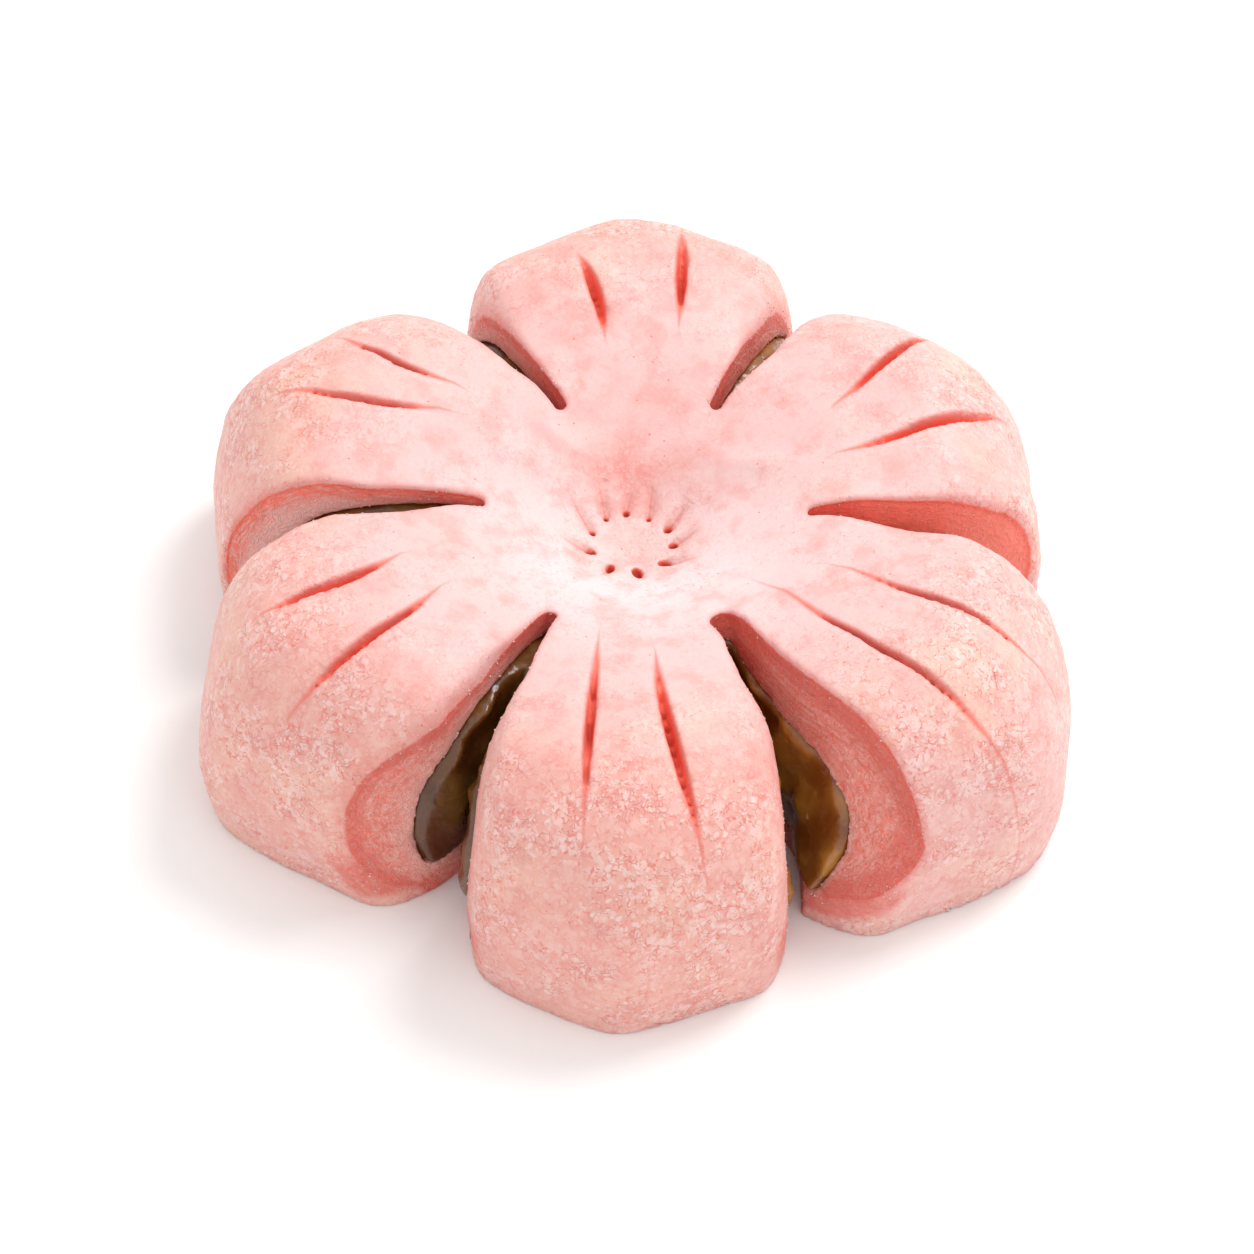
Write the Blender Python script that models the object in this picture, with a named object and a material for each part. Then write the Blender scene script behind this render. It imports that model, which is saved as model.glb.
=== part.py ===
"""Peach blossom pastry: a round bun of flaky dough, cut into six petals that stay joined in the
middle, with a dark fruit paste running through it that shows in the open cuts.

Lengths are in metres and +Z is up. The pastry rests on z = 0, and its middle is at x = y = 0.
The front petal points along -Y. Azimuths run anticlockwise from +X, seen from above.
"""

import math

import bmesh
import bpy
import numpy as np

MM = 0.001

# ---- driving dimensions: the bun --------------------------------------------------------------
CROWN_HEIGHT = 20.6 * MM  # highest ring of the petals
WIDEST_HEIGHT = 5.4 * MM  # height at which the petals reach furthest out
TOP_ROUNDING = 10.5 * MM  # length over which the top curves down to the petal's tip
SIDE_ROUNDING = 5.0 * MM  # the same towards a petal's sides
FOOT_ROUNDING = 4.0 * MM  # the same below the widest height
FOOT_TUCK = 0.3  # how strongly the foot draws in, 0 for a straight wall
TOP_POWER = 1.94  # 2 is an ellipse, more is boxier
CORNER_POWER = 3.2  # the same for the corners between tip and sides, seen from above
SIDE_POWER = 5.0
TIP_RADIUS = 3.0 * MM  # softening of the pointed tip, seen from above
SIDE_FLARE = 0.045  # widening of a petal per length outwards
FLARE_START = 20.0 * MM
PETAL_ROOT = 4.0 * MM  # how far a petal reaches past the middle
PETAL_BLEND = 0.8 * MM  # softening between neighbouring petals

# The dished middle is a wide bowl with a deeper pressed spot.
BOWL_DEPTH = 5.8 * MM
BOWL_RADIUS = 16.5 * MM
PRESS_DEPTH = 2.2 * MM
PRESS_RADIUS = 7.0 * MM

# The skin droops along each cut.
CUT_DROOP = 1.5 * MM
DROOP_WIDTH = 5.0 * MM
DROOP_LENGTH = 10.0 * MM

# ---- driving dimensions: the paste --------------------------------------------------------------
DOUGH_OVER_PASTE = 4.6 * MM  # thickness of the dough above the paste, out in the petals
DOUGH_THINNING = 2.4 * MM  # how much thinner it is in the middle
THINNING_RADIUS = 15.0 * MM
DOUGH_UNDER_PASTE = 3.4 * MM
DOUGH_AT_TIP = 5.4 * MM
PASTE_SIDE_GROWTH = 1.0 * MM  # the paste is sliced through, so it starts wider than the petal
PASTE_TOP_ROUNDING = 8.0 * MM
PASTE_SIDE_ROUNDING = 3.0 * MM
PASTE_BULGE = 0.5 * MM  # how far the paste swells out of the cut faces
PASTE_CENTRE_HEIGHT = 8.0 * MM  # the height that its rays start from
TOUCHING_GAP = 0.3 * MM  # between the paste and the dough around it

# ---- driving dimensions: the cuts ---------------------------------------------------------------
CUT_TIP_HALF_WIDTH = 0.35 * MM
CUT_LENGTH = 34.0 * MM  # runs past the rim
NEAR_LENGTH = 7.0 * MM  # length over which a cut reaches its near width
FAR_START = 9.0 * MM
FAR_LENGTH = 11.0 * MM
HINGE_HEIGHT = 7.0 * MM  # below it a cut keeps its width, above it the faces lean apart
LEAN_HEIGHT = 10.0 * MM
HINGE_DROP = 12.0 * MM  # towards the rim the faces lean apart from lower down
DROP_START = 8.0 * MM
DROP_LENGTH = 14.0 * MM
THINNEST_CUT = 0.15 * MM
CUT_BELOW_FLOOR = 2.0 * MM
CUT_ABOVE_CROWN = 3.0 * MM

# ---- driving dimensions: scores and pricks --------------------------------------------------------
SCORE_HALF_WIDTH = 0.45 * MM
SCORE_DEPTH = 1.7 * MM
PRICK_COUNT = 10
PRICK_RING_RADIUS = 3.1 * MM
PRICK_RING_CENTRE = (-0.5 * MM, 0.1 * MM)
PRICK_RADIUS = 0.32 * MM
PRICK_TAPER = 0.4  # share by which a prick is wider above and narrower below the skin
PRICK_DEPTH = 1.6 * MM
PRICK_FIRST_AZIMUTH = 23.0  # degrees

# ---- mesh density ------------------------------------------------------------------------------
DOUGH_SEGMENTS, DOUGH_RINGS = 90, 30
PASTE_SEGMENTS, PASTE_RINGS = 48, 18
SOLE_SHARE, WALL_SHARE = 0.12, 0.30  # shares of the rings below the foot's edge and the rim
RIM_CROWDING = 1.4  # above 1 the top's rings crowd towards the rim
SOLE_TOLERANCE = 0.005 * MM
CUT_LENGTH_STEPS, CUT_HEIGHT_STEPS = 11, 5
CUT_END_CROWDING = 1.3  # above 1 a cut's steps crowd towards its inner end
CUT_TIP_SHARE = 0.9  # the rounded inner end is cut off flat at this share of its half width
SCORE_SEGMENTS, SCORE_RINGS = 8, 4
PRICK_SIDES = 6
LONGEST_RAY = 60.0 * MM
BISECTIONS = 36


class Petal:
    """One petal, in the horizontal directions along its own axis and across it."""

    def __init__(self, azimuth, reach, tip_slope, clockwise_half, anticlockwise_half, scores):
        self.azimuth = azimuth  # degrees
        self.reach = reach * MM
        self.tip_slope = math.radians(tip_slope)  # how sharply the end comes to a point
        self.clockwise_half = clockwise_half * MM
        self.anticlockwise_half = anticlockwise_half * MM
        self.scores = scores  # inner and outer end of each score, (along, across) in mm


class Cut:
    """One cut between two petals: its inner end, its direction and how it opens on each side."""

    def __init__(self, end_azimuth, end_radius, direction, clockwise, anticlockwise):
        self.end = polar(end_radius * MM, end_azimuth)
        self.direction = math.radians(direction)
        # on each side: width near the end and extra width far out, then how far the face leans
        # back at full height, per length along the cut and extra far out; all but the third in mm
        self.clockwise = clockwise
        self.anticlockwise = anticlockwise

    def place(self, x, y):
        """Distance along the cut from its inner end, and across it, anticlockwise."""
        x = x - self.end[0]
        y = y - self.end[1]
        sine, cosine = math.sin(self.direction), math.cos(self.direction)
        return x * cosine + y * sine, y * cosine - x * sine


def polar(radius, azimuth):
    angle = math.radians(azimuth)
    return radius * math.cos(angle), radius * math.sin(angle)


PETALS = (
    Petal(30.3, 33.7, 28.5, 12.1, 12.5, (((18.5, 1.0), (27.3, 3.6)), ((16.8, -4.0), (27.9, -4.7)))),
    Petal(91.5, 35.8, 30.5, 12.5, 12.6, (((16.7, 2.5), (23.5, 4.3)), ((19.1, -3.2), (26.1, -3.4)))),
    Petal(152.6, 36.5, 36.0, 12.3, 12.7, (((18.1, -2.9), (26.1, -2.1)), ((17.2, -0.1), (25.8, 3.8)))),
    Petal(207.7, 36.0, 33.0, 13.5, 14.0, (((20.4, -3.0), (28.4, -3.1)), ((18.1, 1.1), (29.0, 3.8)))),
    Petal(268.2, 36.7, 28.0, 11.6, 12.0, (((15.6, -3.0), (28.7, -3.7)), ((17.1, 1.4), (30.8, 4.1)))),
    Petal(326.3, 36.6, 31.0, 14.4, 13.3, (((19.8, 0.8), (29.7, 1.4)), ((13.3, -2.3), (31.0, -5.5)))),
)
SCORE_AXES = (30.0, 90.0, 150.0, 210.0, 270.0, 330.0)  # the scores' own axes, in degrees

CUTS = (
    Cut(-1.8, 12.9, -3.5, (0.3, 0.0, 0.17, 0.0), (0.1, 0.0, 0.05, 0.8)),
    Cut(60.3, 11.2, 60.0, (0.9, 0.5, 0.03, 0.0), (0.2, 0.0, 0.10, 0.0)),
    Cut(119.3, 11.0, 123.0, (0.0, 0.0, 0.09, 0.0), (0.9, 0.5, 0.06, 0.0)),
    Cut(181.0, 11.9, 180.0, (0.1, 0.0, 0.06, 0.8), (0.5, 0.0, 0.04, 0.0)),
    Cut(238.5, 12.3, 240.0, (0.1, 0.3, 0.14, 1.8), (0.5, 2.0, 0.05, 0.0)),
    Cut(298.0, 13.0, 300.5, (0.9, 3.4, 0.02, 0.0), (-0.5, -2.8, 0.36, 1.3)),
)


# ---- the rules that the shapes follow --------------------------------------------------------------
def smooth_step(value):
    value = np.clip(value, 0.0, 1.0)
    return value * value * (3.0 - 2.0 * value)


def smooth_minimum(first, second, width):
    overlap = np.maximum(width - np.abs(first - second), 0.0) / width
    return np.minimum(first, second) - overlap * overlap * width * 0.25


def top_height(x, y):
    """Height of the bun's top, with its dished middle and the droop along each cut."""
    radius = np.hypot(x, y)
    bowl = BOWL_DEPTH * np.exp(-((radius / BOWL_RADIUS) ** 2))
    press = PRESS_DEPTH * np.exp(-((radius / PRESS_RADIUS) ** 2))
    droop = 0.0
    for cut in CUTS:
        along, across = cut.place(x, y)
        droop = droop + smooth_step(along / DROOP_LENGTH) * np.exp(-((across / DROOP_WIDTH) ** 2))
    return CROWN_HEIGHT - bowl - press - CUT_DROOP * droop


def petal_field(x, y, z, petal, paste):
    """Below zero inside the petal. With paste set, the paste's lobe inside that petal."""
    angle = math.radians(petal.azimuth)
    along = x * math.cos(angle) + y * math.sin(angle)
    across = y * math.cos(angle) - x * math.sin(angle)
    reach = petal.reach - (DOUGH_AT_TIP if paste else 0.0)
    growth = PASTE_SIDE_GROWTH if paste else 0.0
    top_rounding = PASTE_TOP_ROUNDING if paste else TOP_ROUNDING
    side_rounding = PASTE_SIDE_ROUNDING if paste else SIDE_ROUNDING
    top = top_height(x, y)
    if paste:
        thinning = DOUGH_THINNING * np.exp(-((x**2 + y**2) / THINNING_RADIUS**2))
        top = top - DOUGH_OVER_PASTE + thinning

    off_axis = np.sqrt(across**2 + TIP_RADIUS**2) - TIP_RADIUS
    tip = (along - reach) * math.cos(petal.tip_slope) + off_axis * math.sin(petal.tip_slope)
    flare = SIDE_FLARE * (along - FLARE_START) + growth
    clockwise = -across - petal.clockwise_half - flare
    anticlockwise = across - petal.anticlockwise_half - flare
    side = np.where(across < 0.0, clockwise, anticlockwise)

    # the outline seen from above, then the top curving down to it and the foot drawing in below it
    tip_part = np.clip(1.0 + tip / top_rounding, 0.0, None) ** CORNER_POWER
    side_part = np.clip(1.0 + side / side_rounding, 0.0, None) ** SIDE_POWER
    outline = (tip_part + side_part) ** (1.0 / CORNER_POWER)
    rise = np.clip((z - WIDEST_HEIGHT) / (top - WIDEST_HEIGHT), 0.0, None)
    upper = (outline**TOP_POWER + rise**TOP_POWER) ** (1.0 / TOP_POWER) - 1.0
    depth = np.clip(1.0 - z / WIDEST_HEIGHT, 0.0, None)
    outline = np.clip(1.0 + (outline - 1.0) * top_rounding / FOOT_ROUNDING, 0.0, None)
    lower = np.sqrt(outline**2 + FOOT_TUCK * depth**2) - 1.0

    field = np.where(z >= WIDEST_HEIGHT, upper * top_rounding, lower * FOOT_ROUNDING)
    return np.maximum(field, -PETAL_ROOT - along)


def bun_field(x, y, z, paste=False):
    """All six petals together, above the floor, or the paste inside them."""
    field = petal_field(x, y, z, PETALS[0], paste)
    for petal in PETALS[1:]:
        field = smooth_minimum(field, petal_field(x, y, z, petal, paste), PETAL_BLEND)
    floor = DOUGH_UNDER_PASTE if paste else 0.0
    return np.maximum(field, floor - z)


def cut_sides(cut, along, z, shrink):
    """How far the cut reaches on its clockwise and anticlockwise side."""
    outward = max(along, 0.0)
    near = smooth_step(outward / NEAR_LENGTH)
    far = smooth_step((outward - FAR_START) / FAR_LENGTH)
    hinge = HINGE_HEIGHT - HINGE_DROP * smooth_step((outward - DROP_START) / DROP_LENGTH)
    rise = min(max((z - hinge) / LEAN_HEIGHT, 0.0), 1.0)
    sides = []
    for near_width, far_width, lean_rate, far_lean in (cut.clockwise, cut.anticlockwise):
        width = CUT_TIP_HALF_WIDTH + (near_width * near + far_width * far) * MM
        sides.append(width + rise * (lean_rate * outward + far_lean * MM * far))
    middle = (sides[1] - sides[0]) / 2.0
    half = max((sides[0] + sides[1]) / 2.0 - shrink, THINNEST_CUT)
    if along < 0.0:
        half *= math.sqrt(max(1.0 - (along / CUT_TIP_HALF_WIDTH) ** 2, 0.0))
    return middle - half, middle + half


# ---- making the meshes -----------------------------------------------------------------------------
def link_mesh(name, bm, collection):
    bmesh.ops.recalc_face_normals(bm, faces=bm.faces)
    if bm.calc_volume(signed=True) < 0.0:
        bmesh.ops.reverse_faces(bm, faces=bm.faces)
    mesh = bpy.data.meshes.new(name)
    bm.to_mesh(mesh)
    bm.free()
    obj = bpy.data.objects.new(name, mesh)
    collection.objects.link(obj)
    return obj


def reach_along(rays, centre_height, offset, paste):
    """How far each ray from the bun's axis runs before it leaves the bun, by halving."""
    inside = np.zeros(len(rays))
    outside = np.full(len(rays), LONGEST_RAY)
    for _ in range(BISECTIONS):
        middle = (inside + outside) / 2.0
        x, y, z = (rays * middle[:, None]).T
        within = bun_field(x, y, z + centre_height, paste) < offset
        inside = np.where(within, middle, inside)
        outside = np.where(within, outside, middle)
    return inside


def wrapped_sphere(name, counts, centre_height, offset, paste, collection):
    """A UV sphere whose points are moved onto the bun's rule, with one ring on the foot's edge."""
    bm = bmesh.new()
    bmesh.ops.create_uvsphere(bm, u_segments=counts[0], v_segments=counts[1], radius=1.0)
    points = np.array([vertex.co for vertex in bm.verts])
    heading = np.arctan2(points[:, 1], points[:, 0])
    share = 0.5 + np.arcsin(np.clip(points[:, 2], -1.0, 1.0)) / math.pi
    foot = (DOUGH_UNDER_PASTE if paste else 0.0) - offset
    level = np.stack((np.cos(heading), np.sin(heading), np.zeros(len(heading))), 1)
    foot_radius = reach_along(level, foot + SOLE_TOLERANCE, offset, paste)
    foot_angle = -np.arctan2(centre_height - foot, foot_radius)
    # from below: the flat foot, the wall up to the centre height, and the top
    sole = -math.pi / 2.0 + (foot_angle + math.pi / 2.0) * np.clip(share / SOLE_SHARE, 0.0, 1.0)
    wall = -foot_angle * np.clip((share - SOLE_SHARE) / (WALL_SHARE - SOLE_SHARE), 0.0, 1.0)
    crown = np.clip((share - WALL_SHARE) / (1.0 - WALL_SHARE), 0.0, 1.0) ** RIM_CROWDING
    angle = sole + wall + crown * math.pi / 2.0
    rays = np.stack((level[:, 0] * np.cos(angle), level[:, 1] * np.cos(angle), np.sin(angle)), 1)
    points = rays * reach_along(rays, centre_height, offset, paste)[:, None]
    points[:, 2] += centre_height
    points[:, 2] = np.where(points[:, 2] < foot + SOLE_TOLERANCE, foot, points[:, 2])
    for vertex, point in zip(bm.verts, points):
        vertex.co = point
    return link_mesh(name, bm, collection)


def cut_wedge(name, cut, shrink, collection):
    """The wedge of space in a cut, as a finely divided box bent to the cut's sides."""
    bm = bmesh.new()
    bmesh.ops.create_cube(bm, size=1.0)
    for axis, steps in ((0, CUT_LENGTH_STEPS), (2, CUT_HEIGHT_STEPS)):
        edges = [
            edge
            for edge in bm.edges
            if abs(edge.verts[0].co[axis] - edge.verts[1].co[axis]) > 0.5
        ]
        bmesh.ops.subdivide_edges(bm, edges=edges, cuts=steps, use_grid_fill=True)
    sine, cosine = math.sin(cut.direction), math.cos(cut.direction)
    tip = -CUT_TIP_SHARE * CUT_TIP_HALF_WIDTH
    low, high = -CUT_BELOW_FLOOR, CROWN_HEIGHT + CUT_ABOVE_CROWN
    for vertex in bm.verts:
        share = vertex.co.x + 0.5
        along = tip + (CUT_LENGTH - tip) * share**CUT_END_CROWDING
        z = low + (high - low) * (vertex.co.z + 0.5)
        clockwise, anticlockwise = cut_sides(cut, along, z, shrink)
        across = clockwise if vertex.co.y < 0.0 else anticlockwise
        vertex.co = (
            cut.end[0] + along * cosine - across * sine,
            cut.end[1] + along * sine + across * cosine,
            z,
        )
    return link_mesh(name, bm, collection)


def surface_height(x, y):
    """Height of the bun's skin above a point."""
    low, high = WIDEST_HEIGHT, CROWN_HEIGHT
    for _ in range(BISECTIONS):
        middle = (low + high) / 2.0
        if bun_field(np.float64(x), np.float64(y), np.float64(middle)) < 0.0:
            low = middle
        else:
            high = middle
    return low


def score_blade(name, axis, ends, collection):
    """A thin lens that opens one score in the skin, lying along it."""
    angle = math.radians(axis)
    points = []
    for along, across in ends:
        x = (along * math.cos(angle) - across * math.sin(angle)) * MM
        y = (along * math.sin(angle) + across * math.cos(angle)) * MM
        points.append(np.array((x, y, surface_height(x, y))))
    middle = (points[0] + points[1]) / 2.0
    middle[2] = surface_height(middle[0], middle[1])
    heading = points[1] - points[0]
    length = np.linalg.norm(heading)
    heading = heading / length
    sideways = np.cross((0.0, 0.0, 1.0), heading)
    sideways = sideways / np.linalg.norm(sideways)
    upright = np.cross(heading, sideways)
    bm = bmesh.new()
    bmesh.ops.create_uvsphere(bm, u_segments=SCORE_SEGMENTS, v_segments=SCORE_RINGS, radius=1.0)
    for vertex in bm.verts:
        along, across, rise = vertex.co
        # the lens bends along with the skin below it
        point = middle + heading * along * length / 2.0 + sideways * across * SCORE_HALF_WIDTH
        point = point + upright * rise * SCORE_DEPTH
        skin = surface_height(point[0], point[1]) - middle[2] - heading[2] * along * length / 2.0
        vertex.co = point + np.array((0.0, 0.0, skin))
    return link_mesh(name, bm, collection)


def prick(name, azimuth, collection):
    """A round prick in the pressed middle."""
    x, y = polar(PRICK_RING_RADIUS, azimuth)
    x += PRICK_RING_CENTRE[0]
    y += PRICK_RING_CENTRE[1]
    bm = bmesh.new()
    bmesh.ops.create_cone(
        bm,
        cap_ends=True,
        segments=PRICK_SIDES,
        radius1=PRICK_RADIUS * (1.0 - PRICK_TAPER),
        radius2=PRICK_RADIUS * (1.0 + PRICK_TAPER),
        depth=PRICK_DEPTH * 2.0,
    )
    bmesh.ops.translate(bm, verts=bm.verts, vec=(x, y, surface_height(x, y)))
    return link_mesh(name, bm, collection)


def subtract(target, cutter):
    """Take a cutter out of the target. The exact solver leaves open slivers on these thin cuts."""
    modifier = target.modifiers.new(cutter.name, "BOOLEAN")
    modifier.operation = "DIFFERENCE"
    modifier.solver = "MANIFOLD"
    modifier.object = cutter


def give_material(obj, name, colour, roughness):
    material = bpy.data.materials.new(name)
    material.use_nodes = True
    shader = material.node_tree.nodes["Principled BSDF"]
    shader.inputs["Base Color"].default_value = (*colour, 1.0)
    shader.inputs["Roughness"].default_value = roughness
    shader.inputs["Metallic"].default_value = 0.0
    obj.data.materials.append(material)


def new_collection(name, parent):
    collection = bpy.data.collections.new(name)
    parent.children.link(collection)
    return collection


# ---- the pieces ----------------------------------------------------------------------------------
def paste_sphere(name, offset, collection):
    """The paste before it is sliced, or the room that it takes in the dough."""
    counts = (PASTE_SEGMENTS, PASTE_RINGS)
    return wrapped_sphere(name, counts, PASTE_CENTRE_HEIGHT, offset, True, collection)


def make_filling(parts, cutters):
    """The paste: one lobe in each petal, joined in the middle, sliced by the same six cuts."""
    filling = paste_sphere("filling", 0.0, parts)
    for number, cut in enumerate(CUTS):
        subtract(filling, cut_wedge(f"paste_cut_{number}", cut, PASTE_BULGE, cutters))
    give_material(filling, "fruit_paste", (0.10, 0.065, 0.025), 0.28)
    filling.data.shade_smooth()
    return filling


def make_dough(parts, cutters):
    """The dough: the bun with its six open cuts, the room for the paste, the scores and pricks."""
    counts = (DOUGH_SEGMENTS, DOUGH_RINGS)
    dough = wrapped_sphere("dough", counts, WIDEST_HEIGHT, 0.0, False, parts)
    for number, (petal, axis) in enumerate(zip(PETALS, SCORE_AXES)):
        for which, ends in enumerate(petal.scores):
            subtract(dough, score_blade(f"score_{number}_{which}", axis, ends, cutters))
    for number in range(PRICK_COUNT):
        azimuth = PRICK_FIRST_AZIMUTH + number * 360.0 / PRICK_COUNT
        subtract(dough, prick(f"prick_{number}", azimuth, cutters))
    for number, cut in enumerate(CUTS):
        subtract(dough, cut_wedge(f"dough_cut_{number}", cut, 0.0, cutters))
    subtract(dough, paste_sphere("paste_room", TOUCHING_GAP, cutters))
    give_material(dough, "pink_dough", (0.86, 0.56, 0.51), 0.65)
    dough.data.shade_smooth()
    return dough


def main():
    for obj in list(bpy.data.objects):
        bpy.data.objects.remove(obj)
    scene = bpy.context.scene.collection
    parts = new_collection("peach_blossom_pastry", scene)
    cutters = new_collection("cutters", scene)
    make_dough(parts, cutters)
    make_filling(parts, cutters)
    for cutter in cutters.all_objects:
        cutter.hide_render = True
        cutter.display_type = "WIRE"


main()
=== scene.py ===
"""Looks of the peach blossom pastry: pale pink flaky dough cut into six petals, the glossy fruit
paste that shows in the cuts, and the crumbs along them.

The pastry's rules are written in millimetres. +Z is up, the front petal points along -Y, and
azimuths run anticlockwise from +X, seen from above.
"""

import math
from collections import namedtuple
from functools import reduce
from operator import add

import bpy
from bpy.props import FloatProperty, FloatVectorProperty, IntProperty, PointerProperty
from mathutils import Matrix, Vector


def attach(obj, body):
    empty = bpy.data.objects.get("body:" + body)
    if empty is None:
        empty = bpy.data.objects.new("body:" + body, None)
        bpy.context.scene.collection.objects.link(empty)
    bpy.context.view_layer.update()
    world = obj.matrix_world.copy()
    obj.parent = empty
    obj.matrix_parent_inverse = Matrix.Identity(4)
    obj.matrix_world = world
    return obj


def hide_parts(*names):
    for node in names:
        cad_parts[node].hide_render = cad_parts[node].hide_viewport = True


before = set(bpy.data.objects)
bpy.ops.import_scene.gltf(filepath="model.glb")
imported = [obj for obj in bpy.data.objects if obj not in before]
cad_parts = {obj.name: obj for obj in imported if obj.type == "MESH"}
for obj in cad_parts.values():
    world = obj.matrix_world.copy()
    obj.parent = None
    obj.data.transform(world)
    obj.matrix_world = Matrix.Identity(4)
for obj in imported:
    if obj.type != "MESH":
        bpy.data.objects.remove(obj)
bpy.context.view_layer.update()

bl_info = {
    "name": "Peach Blossom Pastry",
    "version": (1, 0, 0),
    "blender": (4, 5, 0),
    "location": "3D View > Sidebar > Pastry",
    "description": "Makes a six-petalled flaky pastry with a fruit paste in its cuts",
    "category": "Add Mesh",
}

MM = 0.001

# ---- the bun, in millimetres ----
WIDEST_HEIGHT = 5.4
TOP_ROUNDING = 10.5
SIDE_ROUNDING = 5.0
FOOT_ROUNDING = 4.0
FOOT_TUCK = 0.3  # how far the foot is tucked in, as a share
TOP_POWER = 1.94
CORNER_POWER = 3.2
SIDE_POWER = 5.0
TIP_RADIUS = 3.0
FLARE_START = 20.0  # how far out a petal has its given width
PETAL_ROOT = 4.0  # how far each petal reaches back past the middle
PETAL_BLEND = 0.8
BOWL_RADIUS = 16.5
PRESS_RADIUS = 7.0
DROOP_WIDTH = 5.0
DROOP_LENGTH = 10.0
FLOOR_GAP = 0.02
SKIN_INSET = 0.2  # how far the skin lies inside the rule, to leave room for its relief
SWELL = 0.8  # how far the skin swells in and out
SWELL_SCALE = 0.16  # swells per millimetre
WAVER = 0.35  # how far the faces of the cuts waver
WAVER_SCALE = 0.5  # wavers per millimetre

# ---- the paste, in millimetres ----
DOUGH_OVER_PASTE = 4.6
DOUGH_THINNING = 2.4
THINNING_RADIUS = 15.0
DOUGH_UNDER_PASTE = 3.4
DOUGH_AT_TIP = 5.4
PASTE_SIDE_GROWTH = 1.0
PASTE_TOP_ROUNDING = 8.0
PASTE_SIDE_ROUNDING = 3.0
PASTE_OVERLAP = 0.1  # how far the paste's hidden sides reach into the dough

# ---- the cuts, in millimetres ----
NEAR_LENGTH = 7.0  # over which the near width is gained
FAR_LENGTH = 11.0  # over which the far width and lean are gained
HINGE_HEIGHT = 7.0  # over which the faces lean
LEAN_HEIGHT = 10.0  # from the hinge to the full lean
HINGE_DROP = 9.0  # how much lower the hinge is far out
DROP_START = 8.0
DROP_LENGTH = 14.0
THINNEST_CUT = 0.15
LIP_ROUNDING = 0.9
EDGE_ROUNDING = 0.35  # of the foot and of the paste's faces
MARK_ROUNDING = 0.22  # edges of the scores and pricks
PASTE_LUMPINESS = 1.5  # mm from a lump's crest to the crevice beside it
RIM_ROUNDING = 0.8  # where the cut faces meet the paste
FAR_ROLL = 0.4  # how far the lip is rolled in far out, as a share of its roll
ROLL_SHARE = 0.4  # how deep the skin reaches over a rolled lip, as a share of the roll

# Azimuth, reach, slope of the tip, half width clockwise and anticlockwise, and how much the half
# width grows per length, in degrees and millimetres.
PETALS = (
    (30.3, 34.0, 28.5, 14.0, 13.1, 0.045),
    (91.5, 36.05, 30.0, 12.5, 12.6, 0.16),
    (152.6, 36.7, 35.0, 12.3, 13.7, 0.045),
    (207.7, 36.3, 33.0, 13.5, 14.1, 0.045),
    (268.2, 36.8, 28.0, 11.6, 12.0, 0.045),
    (326.3, 36.8, 31.0, 14.4, 13.3, 0.045),
)

# The inner end's azimuth and radius, and the direction. For each side the width at the inner end, the
# width that it gains next to it, the extra width far out, the lean per length and the extra lean far
# out. How far the paste bulges into the cut, the extra dough over the paste there, how far the
# clockwise lip is rolled in, and where the far part starts.
Cut = namedtuple("Cut", "azimuth radius direction clockwise anticlockwise bulge cover roll far_start")
CUTS = (
    Cut(-1.8, 12.9, -3.5, (0.35, 0.3, 0.0, 0.17, 0.0), (0.35, 0.1, 2.6, 0.09, 0.5), 0.3, 0.0, 0.0, 9.0),
    Cut(62.0, 12.4, 60.0, (0.35, 0.9, 0.5, 0.03, 0.0), (0.35, 0.2, 1.5, 0.06, -1.5), 0.4, 0.0, 0.0, 9.0),
    Cut(118.8, 12.4, 123.0, (0.35, 0.0, 1.0, 0.04, -1.0), (0.35, 0.6, 0.5, 0.06, 0.0), 0.4, 0.0, 0.0, 9.0),
    Cut(175.6, 11.9, 182.0, (0.35, 0.3, 0.6, 0.02, 1.0), (0.35, 0.7, 1.0, 0.08, 0.5), 0.3, -1.3, 0.0, 9.0),
    Cut(238.5, 12.3, 240.0, (0.35, 0.1, 3.5, 0.09, 2.9), (0.45, 0.8, 2.3, 0.06, 0.0), 0.5, -0.5, 2.0, 11.5),
    Cut(298.0, 12.7, 300.5, (0.6, 1.0, 3.0, 0.02, 0.0), (1.2, -0.5, -4.6, 0.18, 5.6), 0.1, 2.3, 0.0, 9.0),
)
COVER_SPREAD = 6.0  # how far from a cut the extra dough over the paste reaches

# each score's axis, its inner and outer end along and across that axis, its half width and its bow
SCORES = (
    (30.0, (18.8, 1.1), (27.4, 3.9), 0.32, -0.22),
    (30.0, (16.9, -3.8), (28.4, -4.3), 0.36, -0.91),
    (90.0, (17.4, 2.7), (23.8, 4.4), 0.40, -0.23),
    (90.0, (19.0, -3.1), (26.7, -3.3), 0.34, -0.06),
    (150.0, (19.0, -2.6), (26.3, -2.4), 0.16, 0.42),
    (150.0, (18.6, 0.6), (27.0, 3.8), 0.16, 0.54),
    (210.0, (19.4, -3.3), (28.4, -3.5), 0.30, 0.64),
    (210.0, (18.5, 1.2), (29.2, 3.6), 0.28, 0.70),
    (270.0, (15.3, -3.0), (28.6, -3.7), 0.26, -0.02),
    (270.0, (16.9, 1.4), (30.6, 4.2), 0.36, -0.48),
    (330.0, (18.8, 1.4), (30.5, 2.2), 0.15, -0.65),
    (330.0, (15.6, -2.8), (31.0, -5.4), 0.16, -0.79),
)
SCORE_DEPTH = 1.3
SCORE_EASE = 0.05  # how far a groove is wider than the line that is drawn in it
SCORE_OVERRUN = 1.04  # a score's length as a share of the length that its ends give
SCORE_FULLNESS = 0.8  # how blunt a score is, from 1 for a plain lens to 0 for a slot
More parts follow.
